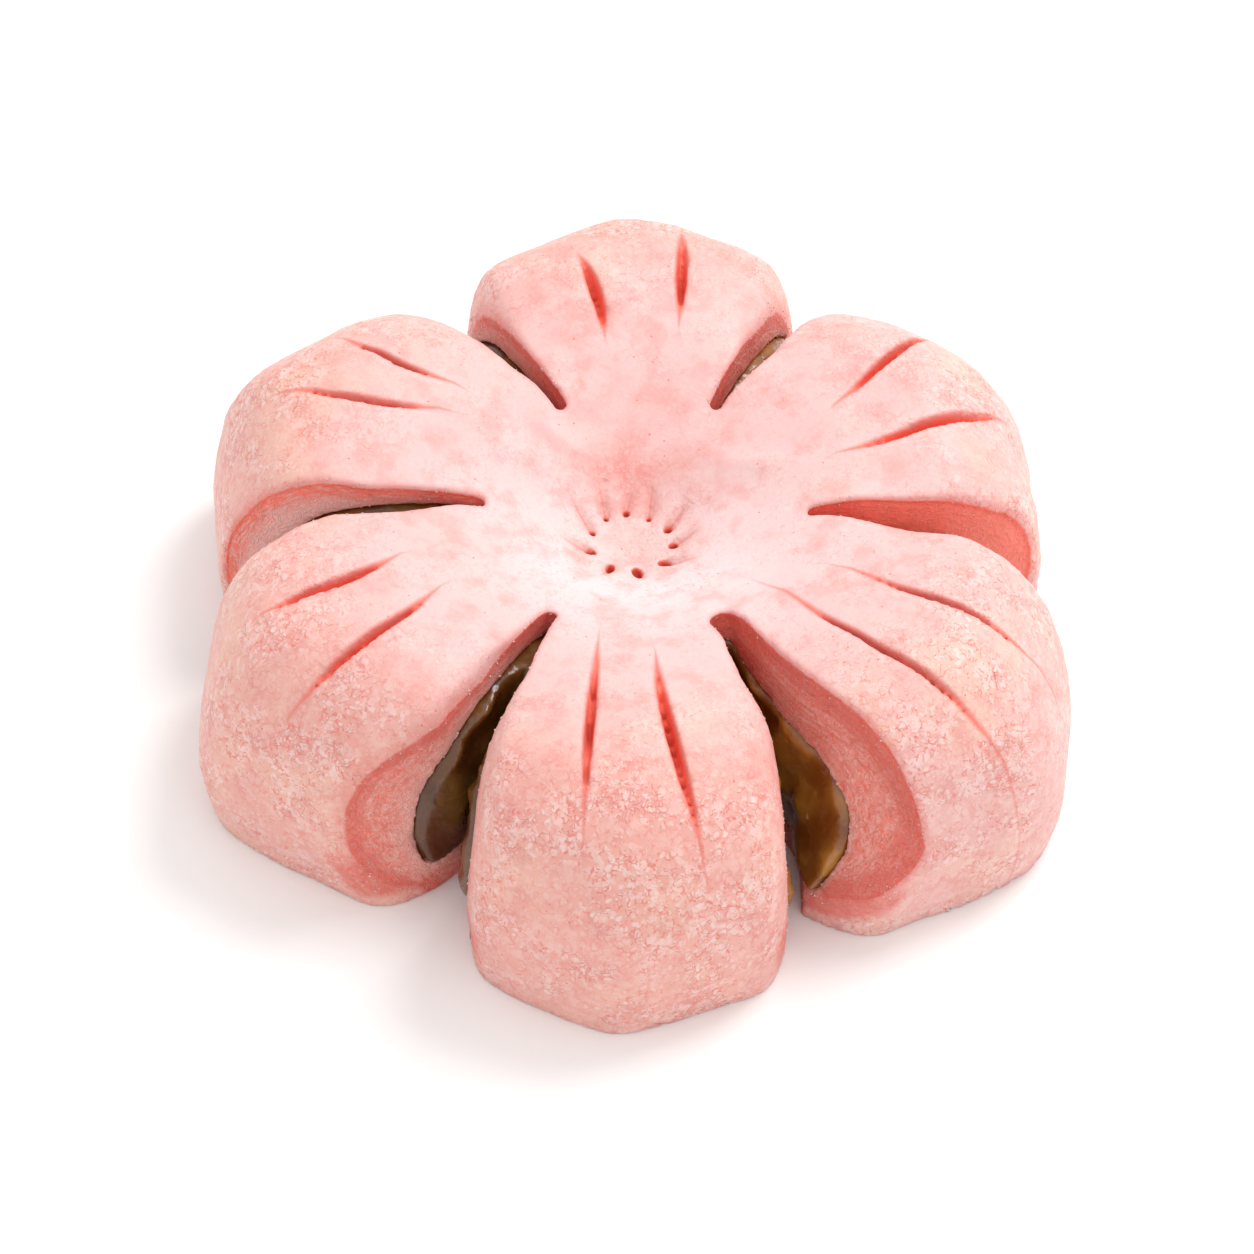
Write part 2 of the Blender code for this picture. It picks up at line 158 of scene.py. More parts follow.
HAIRLINE_START = -1.7  # where the crease past a score's inner end fades out, in half lengths
HAIRLINE_HALF_WIDTH = 0.11

# each prick's place, where the crease that it pulls in the skin ends, and its radius
PRICKS = (
    ((-3.45, 0.95), (-5.6, 4.2), 0.24),
    ((-2.45, 2.45), (-3.1, 5.6), 0.20),
    ((-0.95, 3.05), (-0.3, 5.2), 0.26),
    ((0.75, 2.65), (1.2, 6.0), 0.20),
    ((2.20, 1.60), (4.2, 4.0), 0.30),
    ((2.60, 0.00), (5.0, 1.2), 0.30),
    ((1.95, -1.80), (5.0, -2.0), 0.38),
    ((-0.10, -2.75), (0.6, -4.4), 0.40),
    ((-2.10, -2.45), (-3.0, -4.2), 0.32),
    ((-3.55, -1.00), (-6.3, -0.2), 0.32),
)
PRICK_DEPTH = 1.8
PRICK_SQUEEZE = 0.7  # a prick's width as a share of its length along the pleat
PLEAT_DEPTH = 0.55
PLEAT_HALF_WIDTH = 0.4

# each soft fold's two ends, its height and its half width
FOLDS = (
    ((-11.5, 7.2), (-5.0, 4.4), 0.42, 0.9),
    ((-8.0, 9.6), (-3.4, 5.8), 0.34, 0.7),
    ((4.2, 6.6), (14.5, 3.6), 0.42, 0.9),
    ((-13.5, -0.8), (-6.5, -1.0), 0.20, 0.9),
    ((5.6, 0.2), (12.0, -1.6), 0.18, 0.8),
    ((2.4, -6.0), (6.0, -11.0), 0.16, 0.8),
)

# ---- the camera ----
PHOTO_SIDE = 1254.0  # pixels
SENSOR = 36.0  # mm
CAMERA_DISTANCE = 380.0  # mm
CAMERA_ELEVATION = math.radians(47.2)
PIXELS_PER_MM = 13.5
MIDDLE_HEIGHT = 17.22  # mm, the height on the pastry's axis that shows at MIDDLE_PIXEL
MIDDLE_PIXEL = (638.3, 506.0)

# ---- the stage, in metres ----
FLOOR_HALF = 1.5
KEY_PLACE = (0.22, 0.20, 0.43)
KEY_SIZE = 0.24
FILL_PLACE = (0.20, -0.34, 0.40)
FILL_SIZE = 0.40
LIGHT_COLOUR = (1.0, 0.99, 0.98)


def polar(radius, azimuth):
    angle = math.radians(azimuth)
    return radius * math.cos(angle), radius * math.sin(angle)


def srgb(red, green, blue):
    """A colour as 0 to 255 on a screen, as the linear numbers that shaders take."""
    shares = (value / 255.0 for value in (red, green, blue))
    return tuple(s / 12.92 if s <= 0.04045 else ((s + 0.055) / 1.055) ** 2.4 for s in shares)


# ---- node trees written as Python ----
def maths(operation, reflected=False):
    """A Python operator that becomes a maths node."""

    def operator(self, other):
        first, second = (other, self) if reflected else (self, other)
        return self.nodes.math(operation, first, second)

    return operator


class Term:
    """A number in a node tree, so that a sum on sockets reads as a sum in Python."""

    def __init__(self, nodes, socket):
        self.nodes = nodes
        self.socket = socket

    __add__ = maths("ADD")
    __radd__ = maths("ADD", reflected=True)
    __sub__ = maths("SUBTRACT")
    __rsub__ = maths("SUBTRACT", reflected=True)
    __mul__ = maths("MULTIPLY")
    __rmul__ = maths("MULTIPLY", reflected=True)
    __truediv__ = maths("DIVIDE")
    __rtruediv__ = maths("DIVIDE", reflected=True)
    __pow__ = maths("POWER")

    def __neg__(self):
        return self.nodes.math("MULTIPLY", self, -1.0)

    def __abs__(self):
        return self.nodes.math("ABSOLUTE", self)


class Nodes:
    """A node tree that is being filled, for a material or for geometry."""

    def __init__(self, tree):
        self.tree = tree

    def node(self, kind, settings=None, sockets=None):
        """Any node: its settings are set first, then its sockets' values or links."""
        node = self.tree.nodes.new(kind)
        for name, value in (settings or {}).items():
            setattr(node, name, value)
        for key, value in (sockets or {}).items():
            self.plug(node.inputs[key], value)
        return node

    def plug(self, socket, value):
        if isinstance(value, Term):
            self.tree.links.new(value.socket, socket)
        elif socket.type == "RGBA":
            socket.default_value = (*value, 1.0)
        else:
            socket.default_value = value

    def out(self, node, name=0):
        return Term(self, node.outputs[name])

    def made(self, kind, settings=None, sockets=None, output=0):
        """One output of a node that is made in that way."""
        return self.out(self.node(kind, settings, sockets), output)

    def math(self, operation, *values):
        numbers = dict(enumerate(values))
        return self.made("ShaderNodeMath", {"operation": operation}, numbers)

    def maximum(self, first, second):
        return self.math("MAXIMUM", first, second)

    def minimum(self, first, second):
        return self.math("MINIMUM", first, second)

    def ramp(self, value, start, end, low=0.0, high=1.0):
        """Smoothly from low to high as the value goes from start to end, and level outside."""
        sockets = {"Value": value, "From Min": start, "From Max": end, "To Min": low, "To Max": high}
        settings = {"interpolation_type": "SMOOTHSTEP"}
        return self.made("ShaderNodeMapRange", settings, sockets)

    def bell(self, squared_distance, radius):
        """From 1 at no distance towards 0 far off."""
        return self.math("EXPONENT", squared_distance * (-1.0 / radius**2))

    def turned(self, x, y, heading):
        """A place as the length along a heading in radians and the length across it."""
        cosine = self.math("COSINE", heading)
        sine = self.math("SINE", heading)
        return x * cosine + y * sine, y * cosine - x * sine

    def vector(self, x, y, z):
        return self.made("ShaderNodeCombineXYZ", {}, {"X": x, "Y": y, "Z": z})

    def split(self, vector):
        node = self.node("ShaderNodeSeparateXYZ", {}, {0: vector})
        return self.out(node, "X"), self.out(node, "Y"), self.out(node, "Z")

    def scaled(self, vector, factor):
        return self.made("ShaderNodeVectorMath", {"operation": "SCALE"}, {0: vector, "Scale": factor})

    def moved(self, vector, other):
        return self.made("ShaderNodeVectorMath", {"operation": "ADD"}, {0: vector, 1: other})

    def noise(self, vector, scale, detail=2.0, roughness=0.5, distortion=0.0, output="Fac"):
        sockets = {
            "Vector": vector,
            "Scale": scale,
            "Detail": detail,
            "Roughness": roughness,
            "Distortion": distortion,
        }
        return self.made("ShaderNodeTexNoise", {}, sockets, output)

    def warped(self, vector, scale, amount):
        """The vector moved about by noise, by up to about half the amount each way."""
        shift = self.moved(self.noise(vector, scale, 1.0, output="Color"), (-0.5, -0.5, -0.5))
        return self.moved(vector, self.scaled(shift, amount))

    def cells(self, vector, scale, feature="F1"):
        """The distance to a cell's middle, and a number from 0 to 1 that is even over each cell."""
        node = self.node("ShaderNodeTexVoronoi", {"feature": feature}, {"Vector": vector, "Scale": scale})
        kind, _green, _blue = self.split(self.out(node, "Color"))
        return self.out(node, "Distance"), kind

    def borders(self, vector, scale):
        """The distance to the nearest border between cells."""
        sockets = {"Vector": vector, "Scale": scale}
        return self.made("ShaderNodeTexVoronoi", {"feature": "DISTANCE_TO_EDGE"}, sockets, "Distance")

    def group(self, tree, sockets):
        kind = tree.bl_idname.replace("Tree", "Group")
        return self.node(kind, {"node_tree": tree}, sockets)

    def blend(self, factor, first, second):
        """The first colour at factor 0 and the second at factor 1."""
        node = self.node("ShaderNodeMix", {"data_type": "RGBA"})
        named = {socket.identifier: socket for socket in node.inputs}
        self.plug(named["Factor_Float"], factor)
        self.plug(named["A_Color"], first)
        self.plug(named["B_Color"], second)
        results = {socket.identifier: socket for socket in node.outputs}
        return Term(self, results["Result_Color"])

    def coated(self, colour, *coats):
        """A colour with coats over it, each a factor and the coat's colour."""
        for factor, coat in coats:
            colour = self.blend(factor, colour, coat)
        return colour


SOCKET_KINDS = {float: "Float", int: "Int", bpy.types.Material: "Material", str: "Geometry"}


class Group(Nodes):
    """A node tree with named inputs and outputs, for geometry or for shaders.

    The inputs are their values by name, or only the names of numbers. The outputs are numbers too,
    unless one is the geometry.
    """

    def __init__(self, name, inputs, outputs=("Geometry",), kind="GeometryNodeTree"):
        super().__init__(bpy.data.node_groups.new(name, kind))
        values = inputs if isinstance(inputs, dict) else dict.fromkeys(inputs, 0.0)
        for label, value in values.items():
            self.add_socket(label, "INPUT", SOCKET_KINDS[type(value)], value)
        for label in outputs:
            self.add_socket(label, "OUTPUT", "Geometry" if label == "Geometry" else "Float")
        entry = self.tree.nodes.new("NodeGroupInput")
        self.inputs = {label: Term(self, entry.outputs[label]) for label in inputs}

    def add_socket(self, label, side, kind, value=None):
        socket = self.tree.interface.new_socket(label, in_out=side, socket_type=f"NodeSocket{kind}")
        if value is not None and kind != "Geometry":
            socket.default_value = value

    def finish(self, **results):
        node = self.tree.nodes.new("NodeGroupOutput")
        for label, value in results.items():
            self.plug(node.inputs[label], value)
        return self.tree

    def place(self):
        """Where a point is, in millimetres."""
        return self.scaled(self.made("GeometryNodeInputPosition"), 1.0 / MM)


# ---- the rules of the pastry's form ----
PETAL_INPUTS = ("X", "Y", "Z", "Top", "Top rounding", "Side rounding", "Azimuth", "Reach", "Tip slope")
PETAL_INPUTS += ("Clockwise half", "Anticlockwise half", "Flare")


def petal_tree():
    """Below zero inside one petal: a superellipse over a pointed outline, with a tucked foot."""
    nodes = Group("Pastry petal", PETAL_INPUTS, ("Field",))
    x, y, z, top, top_rounding, side_rounding, *shape = nodes.inputs.values()
    azimuth, reach, slope, clockwise, anticlockwise, flare = shape
    along, across = nodes.turned(x, y, azimuth)
    off_axis = nodes.math("SQRT", across * across + TIP_RADIUS**2) - TIP_RADIUS
    tip = (along - reach) * nodes.math("COSINE", slope) + off_axis * nodes.math("SINE", slope)
    side = nodes.maximum(-across - clockwise, across - anticlockwise) - flare * (along - FLARE_START)
    tip_part = nodes.maximum(1.0 + tip / top_rounding, 0.0) ** CORNER_POWER
    side_part = nodes.maximum(1.0 + side / side_rounding, 0.0) ** SIDE_POWER
    outline = (tip_part + side_part) ** (1.0 / CORNER_POWER)
    rise = nodes.maximum((z - WIDEST_HEIGHT) / (top - WIDEST_HEIGHT), 0.0)
    upper = ((outline**TOP_POWER + rise**TOP_POWER) ** (1.0 / TOP_POWER) - 1.0) * top_rounding
    depth = nodes.maximum(1.0 - z / WIDEST_HEIGHT, 0.0)
    foot = nodes.maximum(1.0 + (outline - 1.0) * top_rounding / FOOT_ROUNDING, 0.0)
    lower = (nodes.math("SQRT", foot * foot + FOOT_TUCK * depth * depth) - 1.0) * FOOT_ROUNDING
    above = nodes.math("GREATER_THAN", z, WIDEST_HEIGHT)
    field = lower + above * (upper - lower)
    return nodes.finish(Field=nodes.maximum(field, -PETAL_ROOT - along))


CUT_OUTPUTS = ("Field", "Along", "Across")
CUT_INPUTS = ["X", "Y", "Z", "End X", "End Y", "Direction", "Far start"]
for side in ("clockwise", "anticlockwise"):
    CUT_INPUTS += [f"{part} {side}" for part in ("Tip width", "Near width", "Far width", "Lean", "Far lean")]


def cut_tree():
    """Below zero inside one cut: a wedge with a rounded inner end, whose faces lean apart."""
    nodes = Group("Pastry cut", CUT_INPUTS, CUT_OUTPUTS)
    x, y, z, end_x, end_y, direction, far_start, *sides = nodes.inputs.values()
    along, across = nodes.turned(x - end_x, y - end_y, direction)
    outward = nodes.maximum(along, 0.0)
    near = nodes.ramp(outward, 0.0, NEAR_LENGTH)
    far = nodes.ramp(outward, far_start, far_start + FAR_LENGTH)
    drop = nodes.ramp(outward, DROP_START, DROP_START + DROP_LENGTH, 0.0, HINGE_DROP)
    rise = (z - HINGE_HEIGHT + drop) / LEAN_HEIGHT
    rise = nodes.minimum(nodes.maximum(rise, 0.0), 1.0)
    reach = []
    for tip, near_width, far_width, lean, far_lean in (sides[:5], sides[5:]):
        width = tip + near_width * near + far_width * far
        reach.append(width + rise * (lean * outward + far_lean * far))
    middle = (reach[1] - reach[0]) * 0.5
    half = nodes.maximum((reach[0] + reach[1]) * 0.5, THINNEST_CUT)
    off = across - middle
    before = nodes.minimum(along, 0.0)
    field = nodes.math("SQRT", off * off + before * before) - half
    return nodes.finish(Field=field, Along=along, Across=across)


SCORE_INPUTS = ("X", "Y", "Depth", "Centre X", "Centre Y", "Heading", "Half length", "Half width", "Bow")
SCORE_OUTPUTS = ("Groove", "Lens", "Crease")


def score_tree(kind):
    """A score: a bowed lens seen from above, running out with its depth and on into a hairline.

    The groove and the lens are below zero inside the score, and the crease goes from 0 to 1.
    """
    nodes = Group(f"Pastry score {kind}", SCORE_INPUTS, SCORE_OUTPUTS, kind)
    x, y, depth, centre_x, centre_y, heading, half_length, width, bow = nodes.inputs.values()
    along, across = nodes.turned(x - centre_x, y - centre_y, heading)
    share = along / half_length
    rise = 1.0 - share * share
    fullness = nodes.maximum(rise, 0.0) ** SCORE_FULLNESS + nodes.minimum(rise, 0.0)
    off = abs(across - bow * nodes.maximum(rise, -0.6))
    groove = off - (width + SCORE_EASE) * (fullness - depth / SCORE_DEPTH)
    crease = nodes.ramp(off, HAIRLINE_HALF_WIDTH, 0.0) * nodes.ramp(share, HAIRLINE_START, -0.8)
    crease = crease * nodes.ramp(share, 1.15, 0.9)
    return nodes.finish(Groove=groove, Lens=off - width * fullness, Crease=crease)


PRICK_INPUTS = ("X", "Y", "Depth", "Start X", "Start Y", "Heading", "Length", "Radius")
PRICK_OUTPUTS = ("Groove", "Pleat", "Crease")


def prick_tree(kind):
    """A prick, and the pleat that runs out of it and gets shallow along its way.

    The groove is below zero inside the prick, and the pleat and its crease go from 0 to 1.
    """
    nodes = Group(f"Pastry prick {kind}", PRICK_INPUTS, PRICK_OUTPUTS, kind)
    x, y, depth, start_x, start_y, heading, length, radius = nodes.inputs.values()
    along, across = nodes.turned(x - start_x, y - start_y, heading)
    share = along / length
    squeezed = along * PRICK_SQUEEZE
    off = nodes.math("SQRT", across * across + squeezed * squeezed)
    groove = off - radius * (1.0 - depth / PRICK_DEPTH)
    run = nodes.ramp(share, -0.1, 0.1) * nodes.ramp(share, 1.0, 0.2)
    pleat = nodes.bell(across * across, PLEAT_HALF_WIDTH) * run
    crease = nodes.ramp(abs(across), 0.13, 0.02) * run
    return nodes.finish(Groove=groove, Pleat=pleat, Crease=crease)


class Form:
    """The pastry's rules in one tree. Each is a number that is below zero inside its shape."""

    def __init__(self, nodes, place):
        self.nodes = nodes
        self.x, self.y, self.z = nodes.split(place)
        self.petal_tree = shared_tree("Pastry petal", petal_tree)
        self.cut_tree = shared_tree("Pastry cut", cut_tree)
        self.squared_radius = self.x * self.x + self.y * self.y
        self.cuts = [self.cut(one) for one in CUTS]

    def cut(self, one):
        """A cut's field, and the place along and across the cut."""
        values = (self.x, self.y, self.z, *polar(one.radius, one.azimuth), math.radians(one.direction))
        values += (one.far_start, *one.clockwise, *one.anticlockwise)
        node = self.nodes.group(self.cut_tree, dict(zip(CUT_INPUTS, values)))
        return tuple(self.nodes.out(node, name) for name in CUT_OUTPUTS)

    def top(self):
        """Height of the top, with its dished middle and the droop along each cut."""
        nodes = self.nodes
        bowl = nodes.inputs["Bowl depth"] * nodes.bell(self.squared_radius, BOWL_RADIUS)
        press = nodes.inputs["Press depth"] * nodes.bell(self.squared_radius, PRESS_RADIUS)
        top = nodes.inputs["Crown height"] - bowl - press
        for _field, along, across in self.cuts:
            droop = nodes.ramp(along, 0.0, DROOP_LENGTH) * nodes.bell(across * across, DROOP_WIDTH)
            top = top - nodes.inputs["Cut droop"] * droop
        return top

    def lobes(self, top, top_rounding, side_rounding, cover=0.0, growth=0.0):
        """All petals joined, each shortened by the cover and widened by the growth on both sides."""
        shared = (self.x, self.y, self.z, top, top_rounding, side_rounding)
        petals = []
        for azimuth, reach, slope, clockwise, anticlockwise, flare in PETALS:
            own = (math.radians(azimuth), reach - cover, math.radians(slope))
            own += (clockwise + growth, anticlockwise + growth, flare)
            sockets = dict(zip(PETAL_INPUTS, shared + own))
            petals.append(self.nodes.out(self.nodes.group(self.petal_tree, sockets)))
        return reduce(lambda one, other: self.nodes.math("SMOOTH_MIN", one, other, PETAL_BLEND), petals)

    def bun(self):
        return self.lobes(self.top(), TOP_ROUNDING, SIDE_ROUNDING)

    def paste(self):
        nodes = self.nodes
        cover = DOUGH_OVER_PASTE - DOUGH_THINNING * nodes.bell(self.squared_radius, THINNING_RADIUS)
        for (_field, along, across), cut in zip(self.cuts, CUTS):
            reach = nodes.ramp(along, -2.0, 2.0) * nodes.bell(across * across, COVER_SPREAD)
            cover = cover + cut.cover * reach
        roundings = (PASTE_TOP_ROUNDING, PASTE_SIDE_ROUNDING)
        lobes = self.lobes(self.top() - cover, *roundings, DOUGH_AT_TIP, PASTE_SIDE_GROWTH)
        return nodes.maximum(lobes, DOUGH_UNDER_PASTE - self.z)

    def rolled(self):
        """How far the skin is rolled in over the lips, in millimetres."""
        ramp = self.nodes.ramp
        rolls = []
        for (_field, along, across), cut in zip(self.cuts, CUTS):
            beside = ramp(across, 0.5, -0.5) * ramp(across, -9.0, -7.0)
            one = cut.roll * beside * ramp(along, 2.0, 8.0)
            rolls.append(one * ramp(along, 13.0, 20.0, 1.0, FAR_ROLL))
        return reduce(add, rolls)

    def gap(self):
        """All six cuts together."""
        return reduce(self.nodes.minimum, (field for field, _along, _across in self.cuts))

    def folds(self):
        """Height of the soft folds round the pressed middle."""
        heights = []
        for (start_x, start_y), (end_x, end_y), rise, half_width in FOLDS:
            run = math.hypot(end_x - start_x, end_y - start_y)
            cosine = (end_x - start_x) / run
            sine = (end_y - start_y) / run
            x = self.x - (start_x + end_x) / 2.0
            y = self.y - (start_y + end_y) / 2.0
            along = (x * cosine + y * sine) / (run / 2.0)
            across = (y * cosine - x * sine) / half_width
            heights.append(rise * self.nodes.bell(along * along + across * across, 1.0))
        return reduce(add, heights)


def marks(nodes, title, make, inputs, rows, joins):
    """Marks of one kind taken together: each of their outputs, joined in the way given for it."""
    kind = nodes.tree.bl_idname
    tree = shared_tree(f"{title} {kind}", lambda: make(kind))
    each = [nodes.group(tree, dict(zip(inputs, row))) for row in rows]
    return [reduce(join, (nodes.out(node, name) for node in each)) for name, join in joins.items()]


def score_marks(nodes, x, y, depth):
    """All scores together: the groove, the lens at the skin and the hairline crease."""
    rows = []
    for axis, inner, outer, half_width, bow in SCORES:
        angle = math.radians(axis)
        ends = []
        for along, across in (inner, outer):
            end_x = along * math.cos(angle) - across * math.sin(angle)
            end_y = along * math.sin(angle) + across * math.cos(angle)
            ends.append(Vector((end_x, end_y)))
        middle = (ends[0] + ends[1]) / 2.0
        run = ends[1] - ends[0]
        half_length = run.length / 2.0 * SCORE_OVERRUN
        rows.append((x, y, depth, *middle, math.atan2(run.y, run.x), half_length, half_width, bow))
    joins = dict(zip(SCORE_OUTPUTS, (nodes.minimum, nodes.minimum, nodes.maximum)))
    return marks(nodes, "Pastry score", score_tree, SCORE_INPUTS, rows, joins)


def prick_marks(nodes, x, y, depth):
    """All pricks together: the holes, and their pleats and creases from 0 to 1."""
    rows = []
    for start, end, radius in PRICKS:
        run = Vector((end[0] - start[0], end[1] - start[1]))
        rows.append((x, y, depth, *start, math.atan2(run.y, run.x), run.length, radius))
    joins = dict(zip(PRICK_OUTPUTS, (nodes.minimum, nodes.maximum, nodes.maximum)))
    return marks(nodes, "Pastry prick", prick_tree, PRICK_INPUTS, rows, joins)


def shared_tree(name, make):
    return bpy.data.node_groups.get(name) or make()


# ---- geometry ----
GRID_LOW = (-35.0, -38.5, -1.5)  # mm, the empty-edged box in which surfaces are looked for
GRID_HIGH = (35.0, 38.5, 22.5)
EASE_START = 0.96  # mean length of the normals round a point, under which the point is eased
EASE_FULL = 0.75  # mean length under which it is eased in full
EASE_ROUNDS = 5
FLOAT_VECTOR = {"data_type": "FLOAT_VECTOR"}


def surface(nodes, field, voxel):
    """The mesh where a field in millimetres is zero, found on a grid of that spacing."""
    sockets = {"Density": -field, "Background": -1.0}
    sockets["Min"] = [value * MM for value in GRID_LOW]
    sockets["Max"] = [value * MM for value in GRID_HIGH]
    for axis, start, end in zip("XYZ", GRID_LOW, GRID_HIGH):
        sockets[f"Resolution {axis}"] = (end - start) / voxel
    volume = nodes.made("GeometryNodeVolumeCube", {}, sockets)
    sockets = {"Volume": volume, "Threshold": 0.0, "Adaptivity": nodes.inputs["Thinning"]}
    return eased(nodes, nodes.made("GeometryNodeVolumeToMesh", {"resolution_mode": "GRID"}, sockets))


def eased(nodes, geometry):
    """The geometry with the points of folded faces drawn towards their neighbours.

    The faces round a point agree where the mean of their normals is nearly one long.
    """
    mean = nodes.made("GeometryNodeInputNormal")
    for domain in ("FACE", "POINT"):
        mean = nodes.made("GeometryNodeFieldOnDomain", {**FLOAT_VECTOR, "domain": domain}, {"Value": mean})
    length = nodes.made("ShaderNodeVectorMath", {"operation": "LENGTH"}, {0: mean}, "Value")
    place = nodes.made("GeometryNodeInputPosition")
    weight = nodes.ramp(length, EASE_START, EASE_FULL)
    sockets = {"Value": place, "Iterations": EASE_ROUNDS, "Weight": weight}
    blurred = nodes.made("GeometryNodeBlurAttribute", FLOAT_VECTOR, sockets)
    return nodes.made("GeometryNodeSetPosition", {}, {"Geometry": geometry, "Position": blurred})


def stored(nodes, geometry, **fields):
    """The geometry with each field kept on its points under that name."""
    for name, field in fields.items():
        sockets = {"Geometry": geometry, "Name": name, "Value": field}
        settings = {"data_type": "FLOAT", "domain": "POINT"}
        geometry = nodes.made("GeometryNodeStoreNamedAttribute", settings, sockets)
    return geometry


def pushed(nodes, geometry, distance):
    """The geometry with its points moved out along their normals, in millimetres."""
    normal = nodes.made("GeometryNodeInputNormal")
    offset = nodes.scaled(normal, distance * MM)
    return nodes.made("GeometryNodeSetPosition", {}, {"Geometry": geometry, "Offset": offset})


def dressed(nodes, geometry):
    smooth = nodes.made("GeometryNodeSetShadeSmooth", {}, {"Geometry": geometry})
    sockets = {"Geometry": smooth, "Material": nodes.inputs["Material"]}
    return nodes.made("GeometryNodeSetMaterial", {}, sockets)


def form_inputs(settings, material):
    return {
        "Voxel": settings.voxel,
        "Thinning": settings.thinning,
        "Crown height": settings.crown_height / MM,
        "Bowl depth": settings.bowl_depth / MM,
        "Press depth": settings.press_depth / MM,
        "Cut droop": settings.cut_droop / MM,
        "Relief": settings.relief / MM,
        "Material": material,
    }


def dough_tree(settings, material):
    """The bun with its cuts, scores and pricks, hollow where the paste lies."""
    nodes = Group("Pastry dough", form_inputs(settings, material))
    place = nodes.place()
    form = Form(nodes, place)
    swell = (nodes.noise(place, SWELL_SCALE, 1.0) - 0.5) * SWELL
    skin = form.bun() - swell * nodes.ramp(form.squared_radius, 30.0, 200.0) + SKIN_INSET - form.folds()
    _groove, pleat, _crease = prick_marks(nodes, form.x, form.y, 0.0)
    skin = skin + pleat * PLEAT_DEPTH
    depth = -skin
    waver = (nodes.noise(place, WAVER_SCALE, 2.0) - 0.5) * WAVER
    gap = form.gap() + waver
    paste = form.paste()
    rolled = form.rolled()
    solid = nodes.math("SMOOTH_MAX", skin, -gap, LIP_ROUNDING + rolled)
    score_groove, _lens, _crease = score_marks(nodes, form.x, form.y, depth)
    prick_groove, _pleat, _crease = prick_marks(nodes, form.x, form.y, depth)
    for hollow in (score_groove, prick_groove):
        solid = nodes.math("SMOOTH_MAX", solid, -hollow, MARK_ROUNDING)
    solid = nodes.math("SMOOTH_MAX", solid, -paste, RIM_ROUNDING)
    solid = nodes.math("SMOOTH_MAX", solid, FLOOR_GAP - form.z, EDGE_ROUNDING)
    geometry = surface(nodes, solid, nodes.inputs["Voxel"])
    geometry = stored(nodes, geometry, depth=depth - rolled * ROLL_SHARE, gap=gap, paste=paste)
    outer = nodes.maximum(nodes.ramp(form.squared_radius, 250.0, 800.0), nodes.ramp(form.z, 16.0, 11.0))
    blisters = nodes.noise(nodes.warped(place, 0.5, 1.2), 0.75, 2.0)
    strands = nodes.noise(nodes.vector(depth * 1.6, form.x * 0.3, form.z * 0.3), 1.0, 2.0)
    cut_face = nodes.ramp(depth, 0.2, 0.6)
    blisters = (outer * 0.7 + 0.3) * blisters
    relief = blisters + cut_face * (strands - blisters)
    above = nodes.ramp(form.z, 0.1, 0.6)
    geometry = pushed(nodes, geometry, -1.0 * relief * above * nodes.inputs["Relief"])
    return nodes.finish(Geometry=dressed(nodes, geometry))


def paste_tree(settings, material):
    """The paste: a lobe in each petal, sliced by the cuts and lumpy where they show it."""
    nodes = Group("Pastry paste", form_inputs(settings, material))
    place = nodes.place()
    form = Form(nodes, place)
    crest_distance, _kind = nodes.cells(nodes.warped(place, 0.3, 1.8), 0.3, "SMOOTH_F1")
    lump = 0.5 - crest_distance
    faces = (-(field + cut.bulge) for (field, _along, _across), cut in zip(form.cuts, CUTS))
    face = reduce(nodes.maximum, faces) - lump * PASTE_LUMPINESS
    solid = nodes.math("SMOOTH_MAX", form.paste() - PASTE_OVERLAP, face, EDGE_ROUNDING)
    geometry = surface(nodes, solid, nodes.inputs["Voxel"])
    geometry = stored(nodes, geometry, lump=lump)
    fine = nodes.noise(nodes.warped(place, 0.4, 2.0), 0.6, 2.0)
    geometry = pushed(nodes, geometry, (fine - 0.5) * nodes.inputs["Relief"])
    return nodes.finish(Geometry=dressed(nodes, geometry))


TURN_SEED = 3
SIZE_SEED = 5


def crumb_inputs(settings, material):
    return {
        "Density": settings.density,
        "Smallest": settings.smallest,
        "Largest": settings.largest,
        "Seed": settings.seed,
        "Material": material,
    }


